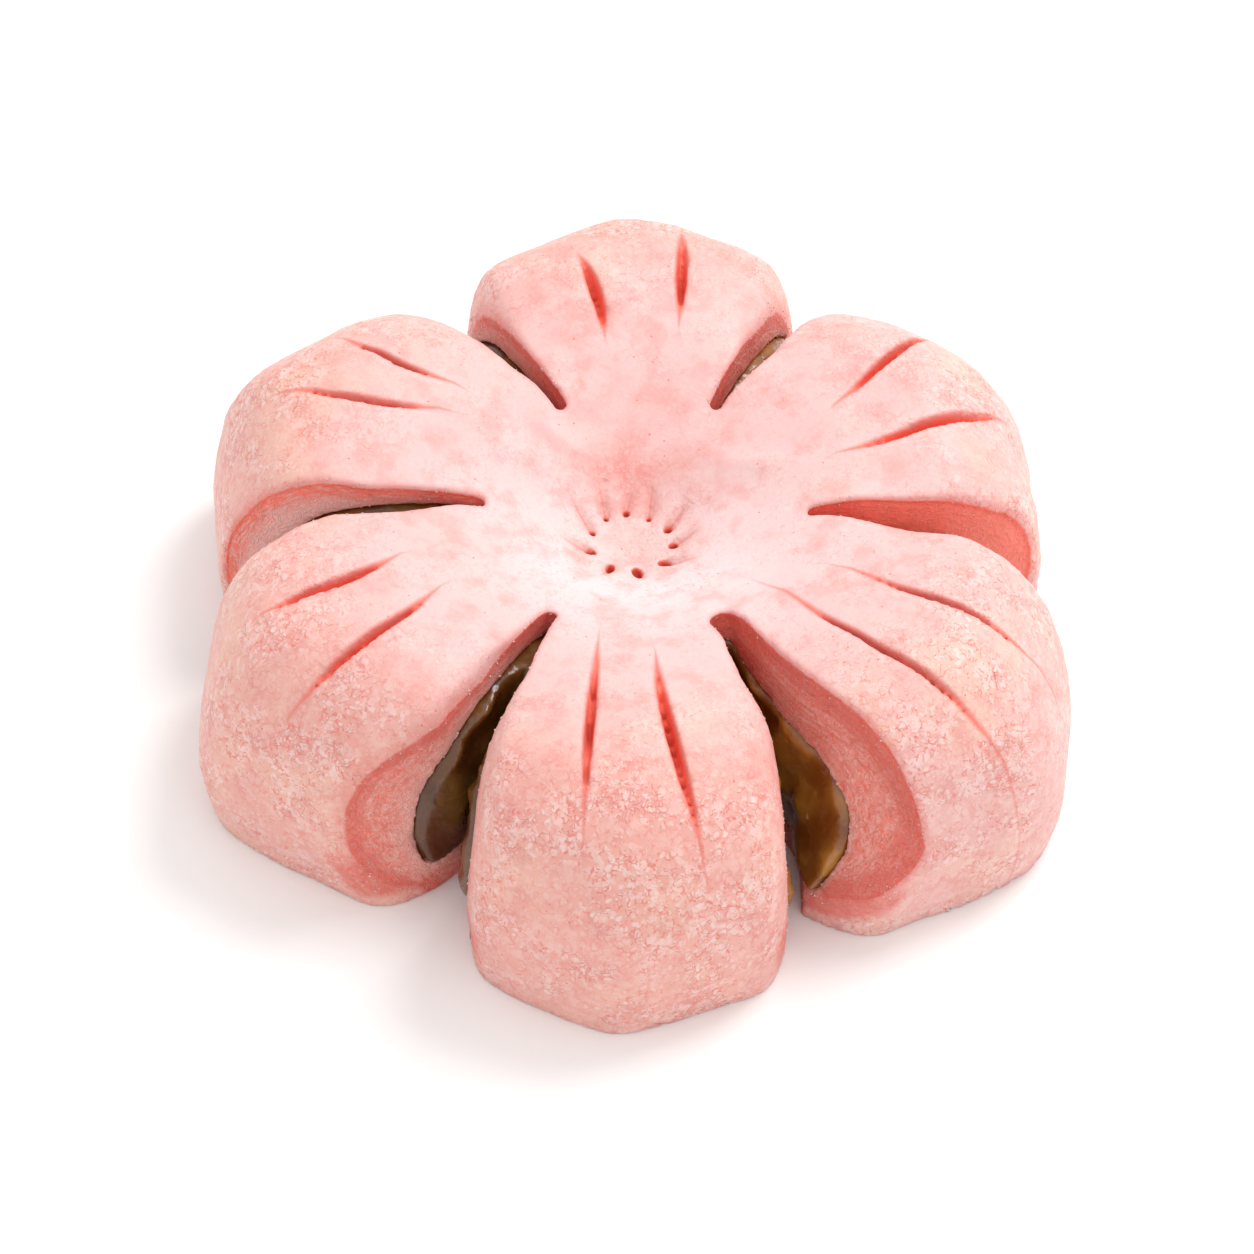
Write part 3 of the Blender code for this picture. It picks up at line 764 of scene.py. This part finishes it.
def crumb_tree(settings, material):
    """Small crumbs scattered on the dough along the lips of its cuts and round its foot."""
    inputs = {"Dough": "the dough's mesh", **crumb_inputs(settings, material)}
    nodes = Group("Pastry crumbs", inputs)
    source = nodes.inputs["Dough"]
    depth, gap, paste = (
        nodes.made("GeometryNodeInputNamedAttribute", {"data_type": "FLOAT"}, {"Name": name})
        for name in ("depth", "gap", "paste")
    )
    _x, _y, z = nodes.split(nodes.place())
    lip = nodes.ramp(abs(gap), 0.5, 0.1) * nodes.ramp(depth, 0.7, 0.2)
    rim = nodes.ramp(abs(gap), 0.5, 0.2) * nodes.ramp(paste, 0.7, 0.3) * 0.9
    foot = nodes.ramp(z, 1.8, 0.6) * 0.3
    clumps = nodes.ramp(nodes.noise(nodes.place(), 0.35, 1.0), 0.45, 0.65)
    wanted = nodes.maximum(nodes.maximum(lip, rim) * (0.25 + clumps), foot * clumps) * nodes.ramp(z, 0.3, 0.5)
    sockets = {
        "Mesh": source,
        "Density": wanted * nodes.inputs["Density"],
        "Seed": nodes.inputs["Seed"],
    }
    scatter = nodes.node("GeometryNodeDistributePointsOnFaces", {"distribute_method": "RANDOM"}, sockets)
    crumb = nodes.node("GeometryNodeMeshIcoSphere", {}, {"Radius": 1.0, "Subdivisions": 2})
    rough = nodes.noise(nodes.made("GeometryNodeInputPosition"), 1.3, 1.0)
    normal = nodes.made("GeometryNodeInputNormal")
    offset = nodes.scaled(normal, (rough - 0.5) * 1.4)
    crumb = nodes.node("GeometryNodeSetPosition", {}, {"Geometry": nodes.out(crumb), "Offset": offset})
    turns = {"Max": (math.tau,) * 3, "Seed": TURN_SEED}
    low, high = (nodes.vector(*[nodes.inputs[name]] * 3) for name in ("Smallest", "Largest"))
    sizes = {"Min": low, "Max": high, "Seed": SIZE_SEED}
    turn, scale = (nodes.made("FunctionNodeRandomValue", FLOAT_VECTOR, one) for one in (turns, sizes))
    sockets = {
        "Points": nodes.out(scatter, "Points"),
        "Instance": nodes.out(crumb),
        "Rotation": turn,
        "Scale": nodes.scaled(scale, MM),
    }
    crumbs = nodes.made("GeometryNodeInstanceOnPoints", {}, sockets)
    crumbs = nodes.made("GeometryNodeRealizeInstances", {}, {"Geometry": crumbs})
    return nodes.finish(Geometry=dressed(nodes, crumbs))


def grown(name, tree, values, source=None):
    """An object whose mesh is what a tree makes, with the tree's named inputs set to the values."""
    mesh = source.data.copy() if source else bpy.data.meshes.new(name)
    obj = bpy.data.objects.new(name, mesh)
    bpy.context.scene.collection.objects.link(obj)
    modifier = obj.modifiers.new("Form", "NODES")
    modifier.node_group = tree
    for item in tree.interface.items_tree:
        if item.name in values and item.in_out == "INPUT":
            modifier[item.identifier] = values[item.name]
    evaluated = obj.evaluated_get(bpy.context.evaluated_depsgraph_get())
    result = bpy.data.meshes.new_from_object(evaluated)
    obj.modifiers.clear()
    obj.data = result
    result.name = name
    if not result.polygons:
        raise RuntimeError(f"{name} came out empty")
    return obj


# ---- finishes ----
def new_material(name, **constants):
    """A material with only a Principled shader, whose even values are set on its own sockets."""
    material = bpy.data.materials.new(name)
    material.use_nodes = True
    material.node_tree.nodes.clear()
    nodes = Nodes(material.node_tree)
    sockets = {label.replace("_", " "): value for label, value in constants.items()}
    shader = nodes.node("ShaderNodeBsdfPrincipled", {"subsurface_method": "RANDOM_WALK"}, sockets)
    output = nodes.node("ShaderNodeOutputMaterial")
    nodes.plug(output.inputs["Surface"], nodes.out(shader))
    return material, nodes, shader


def wear(nodes, shader, **values):
    """Sets the shader's sockets of those names, with underscores for the spaces."""
    for label, value in values.items():
        nodes.plug(shader.inputs[label.replace("_", " ")], value)


def millimetres(nodes):
    return nodes.scaled(nodes.made("ShaderNodeTexCoord", output="Object"), 1.0 / MM)


def attribute(nodes, name):
    return nodes.made("ShaderNodeAttribute", {"attribute_name": name}, output="Fac")


def bumped(nodes, height, distance):
    """A normal from a height between 0 and 1 that stands for that distance in millimetres."""
    sockets = {"Height": height, "Distance": distance * MM, "Strength": 1.0}
    return nodes.made("ShaderNodeBump", {}, sockets)


def dough_finish(settings):
    """Pale dough with whitish patches, rosy strokes and red specks; rosier where it is cut."""
    material, nodes, shader = new_material(
        "pink_dough",
        Subsurface_Weight=0.3,
        Subsurface_Radius=(1.0, 0.4, 0.3),
        Subsurface_Scale=0.8 * MM,
        Specular_IOR_Level=0.35,
    )
    ramp, bell, noise, most = nodes.ramp, nodes.bell, nodes.noise, nodes.maximum
    place = millimetres(nodes)
    x, y, z = nodes.split(place)
    depth = attribute(nodes, "depth")
    gap = attribute(nodes, "gap")
    paste = attribute(nodes, "paste")
    squared_radius = x * x + y * y
    forward = y + 4.0
    centre = bell(x * x * 0.7 + forward * forward * 1.3, 8.5)
    outer = most(ramp(squared_radius, 250.0, 900.0), ramp(z, 15.5, 9.0))

    # patterns on the skin, each from 0 to 1
    broad = noise(place, 0.14, 2.0)
    patch = noise(place, 0.4, 3.0, 0.6)
    lively = ramp(noise(place, 0.22, 2.0), 0.4, 0.58, 0.4, 1.0)
    warped = nodes.warped(place, 1.1, 0.8)
    curls = noise(nodes.warped(place, 1.3, 0.9), 2.0, 1.0, 0.5, 0.6)
    cloud = ramp(noise(warped, 1.15, 3.0, 0.6), 0.46, 0.62)
    cell_distance, cell_kind = nodes.cells(warped, 1.6)
    edge = nodes.borders(warped, 1.9)
    cell = ramp(cell_distance, 0.5, 0.3) * ramp(cell_kind + (patch - 0.5) * 1.2, 0.36, 0.6)
    bead_distance, bead_kind = nodes.cells(warped, 2.6)
    bead = ramp(bead_distance, 0.46, 0.24) * ramp(bead_kind, 0.4, 0.6)
    blob = most(cell * 0.85, most(bead * 0.8, cloud * 0.65))
    stroke = ramp(edge, 0.13, 0.03) * ramp(curls, 0.52, 0.58)
    stroke = most(stroke, ramp(abs(curls - 0.42), 0.03, 0.0) * ramp(patch, 0.47, 0.6))
    ring = ramp(abs(bead_distance - 0.46), 0.1, 0.02) * ramp(bead_kind, 0.7, 0.8)
    speck_distance, speck_kind = nodes.cells(place, 0.85)
    speck = ramp(speck_distance, 0.085, 0.045) * ramp(speck_kind, 0.4, 0.6)
    grain = noise(place, 4.0, 2.0)
    # painted shade: the slope behind the pressed middle, and more faintly the back petal's top, face away
    # from the light, so the skin there is painted rosy
    pit_y = (y - 5.9) * 0.42
    pit_x = (x + 0.7) * 0.22
    back_y = (y - 11.0) * 0.2
    back_x = (x - 0.8) * 0.12
    painted_slope_shade = bell(pit_y * pit_y + pit_x * pit_x, 1.0)
    painted_slope_shade = most(painted_slope_shade, bell(back_y * back_y + back_x * back_x, 1.0) * 0.25)

    # the skin's colours, from the broadest to the finest
    detail = lively * (0.2 + 0.55 * outer)
    skin = nodes.coated(
        settings.pink,
        (centre, settings.pale),
        (bell(squared_radius, 2.9) * 0.7, settings.pink),
        # the salmon fades to half towards +X: painted light on the side that the key light falls on
        (outer * ramp(x, 2.0, 24.0, 1.0, 0.5), settings.salmon),
        (ramp(broad, 0.48, 0.68) * (0.1 + 0.5 * outer), settings.peach),
        (ramp(patch, 0.44, 0.7) * 0.5, settings.rosy),
        # painted shade behind the pressed middle
        (painted_slope_shade * ramp(patch, 0.1, 0.6), settings.rosy),
        (blob * detail, settings.white),
        (most(stroke, ring * 0.5) * lively * (0.22 + 0.5 * outer), settings.track),
        # painted shade: the skin turns rosy along the rounded lips of the cuts, where they turn away from the
        # light
        (ramp(gap, 0.7, 0.1) * 0.3, settings.track),
        (speck * 0.7, settings.speck),
    )

    # scores and pricks, drawn here so that they stay crisp; the darkened lines in the creases and hairlines,
    # the rosy pleats and the rosy borders of the scores are painted shade
    _groove, lens, hairline = score_marks(nodes, x, y, 0.0)
    prick, pleat, crease = prick_marks(nodes, x, y, 0.0)
    skin = nodes.coated(
        skin,
        # painted shade: darkened lines in the creases and hairlines
        (most(hairline * 0.35, crease * 0.75), settings.track),
        # painted shade in the pleats' valleys
        (pleat * 0.5, settings.rosy),
        # painted shade on the sloping shoulders of the scores
        (ramp(lens, 0.4, 0.0) * 0.8, settings.track),
    )
    opening = nodes.minimum(lens, prick) + (grain - 0.5) * 0.1
    opened = ramp(opening, 0.06, -0.04) * ramp(z, 8.0, 10.0)
    walls = nodes.coated(
        settings.score,
        # the red dough, turning deeper red towards the bottom of the scores as painted shade
        (ramp(depth, 0.4, 1.4), settings.score_deep),
        # the red dough, darkened with painted shade deep in the pricks
        (ramp(prick, 0.0, -0.1) * 0.7, settings.prick),
    )

    # the cut faces: a red line under the skin, then fine layers along it with whitish curls
    layers_place = nodes.vector(depth * 2.4, x * 0.35 + y * 0.2, z * 0.45)
    strands = noise(nodes.warped(layers_place, 1.2, 0.9), 2.2, 3.0, 0.65)
    fleck = ramp(abs(curls - 0.5), 0.07, 0.0)
    band = ramp(x - y, 10.0, 40.0)
    past_band = ramp(depth + (curls - 0.5) * 0.8, 0.7 + band * 0.8, 1.3 + band * 1.4)
    rim_reach = ramp(x, 5.0, -15.0, 0.9, 2.2)
    # painted light: the cut faces at the left and right of the middle get brighter copies of the flesh
    # colour, standing in for light bounced into them
    beside = ramp(y, -5.0, -2.0) * ramp(y, 9.0, 6.0)
    under = depth - 0.42
    side_flesh_painted_light = nodes.coated(
        settings.flesh_red_painted_light,
        (ramp(depth, 0.8, 2.2), settings.flesh_painted_bounce_light),
        (ramp(strands, 0.46, 0.62) * 0.6, settings.white),
        (ramp(x, -5.0, 5.0), settings.flesh_red_painted_light),
    )
    flesh = nodes.coated(
        settings.flesh_outer,
        (past_band, settings.flesh),
        (ramp(strands, 0.48, 0.66) * (0.2 + 0.35 * past_band), settings.flesh_strand),
        (fleck * (0.2 + 0.3 * past_band), settings.flesh_strand),
        (ramp(strands, 0.46, 0.34) * 0.5, settings.flesh_outer),
        (most(stroke, speck) * 0.5, settings.score_deep),
        (ramp(z, 7.0, 3.0) * band * 0.6, settings.flesh_outer),
        (ramp(paste + (curls - 0.5) * 1.2, rim_reach, 0.2) * 0.7, settings.flesh_strand),
        # painted light on the side cut faces
        (beside * 0.85, side_flesh_painted_light),
        # painted shade: the faces darken to deep red towards the narrow inner ends of the cuts
        (ramp(squared_radius, 330.0, 190.0) * 0.4, settings.score_deep),
        (bell(under * under, 0.18) * (0.2 + 0.4 * beside), settings.score_deep),
    )
    inside = ramp(depth + (grain - 0.5) * 0.15, 0.22, 0.42) * ramp(gap, 0.9, 0.6)
    foot = ramp(z, 6.5, 4.0) * ramp(z, 0.6, 1.8) * ramp(gap, 2.6, 1.0) * ramp(y, -10.0, -16.0)
    inside = most(inside, foot * 0.8)
    colour = nodes.coated(skin, (inside, flesh), (opened, walls))

    height = detail * (blob * 0.9 + curls - stroke * 0.4) + grain * 0.15
    height = height + inside * (strands * 1.4 + fleck * 0.6 - height)
    roughness = 0.54 - blob * outer * 0.16 + inside * 0.1
    wear(nodes, shader, Base_Color=colour, Normal=bumped(nodes, height, 0.07), Roughness=roughness)
    return material


def paste_finish(settings):
    """Dark, glossy fruit paste, amber where a lump thins and darker between lumps, partly as painted shade in
    the crevices; in the cuts on the left it is painted nearly black with shade.
    """
    material, nodes, shader = new_material(
        "fruit_paste",
        Subsurface_Weight=0.35,
        Subsurface_Radius=(1.0, 0.45, 0.12),
        Subsurface_Scale=1.6 * MM,
        Specular_IOR_Level=0.5,
        Coat_Weight=0.25,
        Coat_Roughness=0.15,
    )
    place = millimetres(nodes)
    x, _y, _z = nodes.split(place)
    lump = attribute(nodes, "lump")
    veil = nodes.noise(nodes.warped(place, 0.3, 2.0), 0.3, 2.0)
    streak = nodes.noise(nodes.warped(place, 0.6, 2.5), 0.9, 2.0)
    # painted shade: the paste in the cuts on the left faces away from the light, so it is painted darker
    # towards -X
    bright = nodes.ramp(x, -8.0, 6.0)
    # darker between the lumps: the paste's own tone, with painted shade in the crevices
    body = nodes.ramp(lump + (veil - 0.5) * 0.7, -0.25, 0.4)
    colour = nodes.coated(
        settings.dark_with_crevice_shade,
        (body, settings.olive),
        (nodes.ramp(veil, 0.4, 0.7) * body * 0.7, settings.amber),
        (nodes.ramp(streak, 0.52, 0.75) * 0.3, settings.pale_streak),
    )
    colour = nodes.blend(bright, nodes.blend(0.62, colour, settings.shade), colour)
    height = streak * 0.5 + nodes.noise(place, 3.0, 2.0) * 0.12
    normal = bumped(nodes, height, 0.14)
    wear(nodes, shader, Base_Color=colour, Normal=normal, Roughness=0.16 + veil * 0.2)
    return material


def crumb_finish(settings):
    """Crumbs of the same dough, paler for being dry."""
    material, nodes, shader = new_material("dough_crumbs", Subsurface_Weight=0.2, Subsurface_Scale=0.5 * MM)
    place = millimetres(nodes)
    tint = nodes.noise(place, 0.9, 2.0)
    colour = nodes.blend(tint, settings.pale, settings.rosy)
    normal = bumped(nodes, nodes.noise(place, 9.0, 2.0), 0.04)
    wear(nodes, shader, Base_Color=colour, Normal=normal, Roughness=0.6 + tint * 0.2)
    return material


def floor_finish(settings):
    """Plain matt card with a faint tooth."""
    material, nodes, shader = new_material("studio_card", Specular_IOR_Level=0.1)
    tooth = nodes.noise(millimetres(nodes), 0.8, 2.0)
    shade = tuple(value * 0.99 for value in settings.floor_colour)
    colour = nodes.blend(tooth, settings.floor_colour, shade)
    wear(nodes, shader, Base_Color=colour, Roughness=0.8 + tooth * 0.1)
    return material


# ---- the add-on ----
def colour_property(name, description, shade):
    return FloatVectorProperty(
        name=name, description=description, default=srgb(*shade), subtype="COLOR", size=3, min=0.0, max=1.0
    )


def length_property(name, description, millimetres_long):
    return FloatProperty(
        name=name, description=description, default=millimetres_long * MM, unit="LENGTH", precision=5
    )


def number_property(name, description, default):
    return FloatProperty(name=name, description=description, default=default)


class PastryFormSettings(bpy.types.PropertyGroup):
    """The sizes that the dough and the paste share."""

    crown_height: length_property("Crown height", "Height of the highest ring of the petals", 20.6)
    bowl_depth: length_property("Bowl depth", "Depth of the wide bowl in the middle", 5.8)
    press_depth: length_property("Press depth", "Depth of the pressed spot in the bowl", 2.2)
    cut_droop: length_property("Cut droop", "How far the skin sinks along a cut", 1.5)
    relief: length_property("Relief", "Height of the fine lumps on the surface", 0.22)
    voxel: number_property("Voxel", "Grid spacing in millimetres", 0.22)
    thinning: number_property("Thinning", "Merging of flat faces", 0.05)


class PastryDoughSettings(bpy.types.PropertyGroup):
    """The dough's colours."""

    pale: colour_property("Pale", "Skin in the dished middle", (227, 216, 217))
    pink: colour_property("Pink", "Skin on top of the petals", (224, 184, 181))
    salmon: colour_property("Salmon", "Skin on the outer slopes", (226, 166, 155))
    rosy: colour_property("Rosy", "Mottling of the skin", (218, 146, 138))
    peach: colour_property("Peach", "Yellower patches of the skin", (230, 186, 166))
    white: colour_property("White", "Pale patches and beads", (236, 212, 207))
    track: colour_property("Track", "Thin strokes between the patches", (222, 116, 104))
    speck: colour_property("Speck", "Tiny specks", (204, 82, 68))
    score: colour_property("Score", "Walls of the scores", (242, 118, 98))
    # the red line under the skin and red marks on the cut faces; also painted shade deep in the scores and
    # near the cuts' inner ends
    score_deep: colour_property("Deep score", "Depth of the scores, and under the skin", (224, 82, 62))
    # the red dough darkened with painted shade, for deep in the pricks
    prick: colour_property("Prick", "Depth of the pricks", (176, 58, 42))
    flesh: colour_property("Flesh", "Cut faces", (230, 142, 128))
    # the left cut face's flesh, brightened as painted bounce light
    flesh_painted_bounce_light: colour_property("Bright flesh", "Cut face at the left", (255, 202, 194))
    # the right cut face's own red, brightened as painted light
    flesh_red_painted_light: colour_property("Red flesh", "Cut face at the right", (255, 140, 122))
    flesh_outer: colour_property("Outer flesh", "Cut faces just under the skin", (218, 114, 102))
    flesh_strand: colour_property("Strands", "Pale layers in the cut faces", (238, 184, 174))


class PastryPasteSettings(bpy.types.PropertyGroup):
    """The paste's colours."""

    # the paste's darker tone between lumps, with painted shade in the crevices
    dark_with_crevice_shade: colour_property("Dark", "Paste between the lumps", (116, 60, 18))
    olive: colour_property("Olive", "Paste on the lumps", (154, 102, 40))
    amber: colour_property("Amber", "Thin, bright paste", (176, 122, 44))
    pale_streak: colour_property("Bloom", "Pale streaks on the paste", (172, 136, 96))
    # painted shade on the paste in the cuts on the left
    shade: colour_property("Shade", "Darker paste in the cuts on the left", (44, 18, 8))


class PastryCrumbSettings(bpy.types.PropertyGroup):
    """The crumbs' number and sizes."""

    density: number_property("Density", "Crumbs per square metre at the lips", 3.0e6)
    smallest: number_property("Smallest", "Smallest radius in millimetres", 0.03)
    largest: number_property("Largest", "Largest radius in millimetres", 0.11)
    seed: IntProperty(name="Seed", description="Seed of the scatter", default=7)


class PastryStageSettings(bpy.types.PropertyGroup):
    """The light and the floor."""

    key_power: number_property("Key power", "Power of the key light in watts", 1.5)
    fill_power: number_property("Fill power", "Power of the fill light in watts", 0.15)
    sky: number_property("Sky", "Strength of the even light", 1.0)
    floor_colour: colour_property("Floor", "Colour of the floor", (246, 245, 244))


class PASTRY_OT_dough(bpy.types.Operator):
    """Make the dough, the whole bun with its cuts, scores and pricks"""

    bl_idname = "pastry.dough"
    bl_label = "Dough"

    def execute(self, context):
        material = dough_finish(context.scene.pastry_dough)
        settings = context.scene.pastry_form
        tree = dough_tree(settings, material)
        piece = grown("flaky_dough", tree, form_inputs(settings, material))
        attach(piece, "root")
        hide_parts("dough")
        return {"FINISHED"}


class PASTRY_OT_paste(bpy.types.Operator):
    """Make the fruit paste that runs through the petals and shows in the cuts"""

    bl_idname = "pastry.paste"
    bl_label = "Fruit paste"

    def execute(self, context):
        material = paste_finish(context.scene.pastry_paste)
        settings = context.scene.pastry_form
        tree = paste_tree(settings, material)
        piece = grown("fruit_filling", tree, form_inputs(settings, material))
        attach(piece, "root")
        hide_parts("filling")
        return {"FINISHED"}


class PASTRY_OT_crumbs(bpy.types.Operator):
    """Scatter crumbs along the lips of the cuts and round the foot"""

    bl_idname = "pastry.crumbs"
    bl_label = "Crumbs"

    def execute(self, context):
        material = crumb_finish(context.scene.pastry_dough)
        settings = context.scene.pastry_crumbs
        source = bpy.data.objects["flaky_dough"]
        tree = crumb_tree(settings, material)
        piece = grown("dough_crumbs", tree, crumb_inputs(settings, material), source)
        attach(piece, "root")
        return {"FINISHED"}


class PASTRY_OT_stage(bpy.types.Operator):
    """Set the camera at the photo's angle over a plain pale floor in soft light"""

    bl_idname = "pastry.stage"
    bl_label = "Stage"

    def execute(self, context):
        settings = context.scene.pastry_stage
        place_camera(context.scene)
        corners = [(x * FLOOR_HALF, y * FLOOR_HALF, 0.0) for x, y in ((-1, -1), (1, -1), (1, 1), (-1, 1))]
        mesh = bpy.data.meshes.new("floor")
        mesh.from_pydata(corners, [], [(0, 1, 2, 3)])
        mesh.materials.append(floor_finish(settings))
        floor = bpy.data.objects.new("floor", mesh)
        context.scene.collection.objects.link(floor)
        place_light("key_light", KEY_PLACE, KEY_SIZE, settings.key_power)
        place_light("fill_light", FILL_PLACE, FILL_SIZE, settings.fill_power)
        world = bpy.data.worlds.new("studio")
        world.use_nodes = True
        sky = world.node_tree.nodes["Background"]
        sky.inputs["Color"].default_value = (1.0, 1.0, 1.0, 1.0)
        sky.inputs["Strength"].default_value = settings.sky
        context.scene.world = world
        context.scene.view_settings.view_transform = "Standard"
        return {"FINISHED"}


def place_camera(scene):
    """The photo's camera. Its axis passes beside the pastry's own, so that no lens shift is needed."""
    sine, cosine = math.sin(CAMERA_ELEVATION), math.cos(CAMERA_ELEVATION)
    middle = Vector((0.0, 0.0, MIDDLE_HEIGHT))
    eye = middle + Vector((0.0, -cosine, sine)) * CAMERA_DISTANCE
    right = (PHOTO_SIDE / 2.0 - MIDDLE_PIXEL[0]) / PIXELS_PER_MM
    rise = (MIDDLE_PIXEL[1] - PHOTO_SIDE / 2.0) / PIXELS_PER_MM
    target = middle + Vector((right, rise * sine, rise * cosine))
    camera = bpy.data.cameras.new("photo_camera")
    camera.sensor_width = SENSOR
    camera.lens = SENSOR * PIXELS_PER_MM * CAMERA_DISTANCE / PHOTO_SIDE
    camera.clip_start = 0.01
    obj = bpy.data.objects.new("photo_camera", camera)
    obj.location = eye * MM
    obj.rotation_euler = (target - eye).to_track_quat("-Z", "Y").to_euler()
    scene.collection.objects.link(obj)
    scene.camera = obj


def place_light(name, place, size, power):
    light = bpy.data.lights.new(name, "AREA")
    light.shape = "DISK"
    light.size = size
    light.energy = power
    light.color = LIGHT_COLOUR
    obj = bpy.data.objects.new(name, light)
    obj.location = place
    obj.rotation_euler = (-Vector(place)).to_track_quat("-Z", "Y").to_euler()
    bpy.context.scene.collection.objects.link(obj)


class PASTRY_PT_panel(bpy.types.Panel):
    """The pastry's pieces, in the order in which they are made"""

    bl_idname = "PASTRY_PT_panel"
    bl_label = "Peach Blossom Pastry"
    bl_space_type = "VIEW_3D"
    bl_region_type = "UI"
    bl_category = "Pastry"

    def draw(self, context):
        for operator, settings in PANEL_ROWS:
            self.layout.operator(operator.bl_idname)
            group = getattr(context.scene, settings)
            for name in group.bl_rna.properties.keys():
                if name not in ("rna_type", "name"):
                    self.layout.prop(group, name)


SETTINGS = {
    "pastry_form": PastryFormSettings,
    "pastry_dough": PastryDoughSettings,
    "pastry_paste": PastryPasteSettings,
    "pastry_crumbs": PastryCrumbSettings,
    "pastry_stage": PastryStageSettings,
}
PANEL_ROWS = (
    (PASTRY_OT_stage, "pastry_stage"),
    (PASTRY_OT_dough, "pastry_dough"),
    (PASTRY_OT_paste, "pastry_paste"),
    (PASTRY_OT_crumbs, "pastry_crumbs"),
)
CLASSES = tuple(SETTINGS.values()) + tuple(row[0] for row in PANEL_ROWS) + (PASTRY_PT_panel,)


def register():
    for one in CLASSES:
        bpy.utils.register_class(one)
    for name, group in SETTINGS.items():
        setattr(bpy.types.Scene, name, PointerProperty(type=group))


def unregister():
    for name in SETTINGS:
        delattr(bpy.types.Scene, name)
    for one in reversed(CLASSES):
        bpy.utils.unregister_class(one)


def main():
    register()
    bpy.ops.pastry.stage()
    bpy.ops.pastry.dough()
    bpy.ops.pastry.paste()
    bpy.ops.pastry.crumbs()


if __name__ == "__main__":
    main()
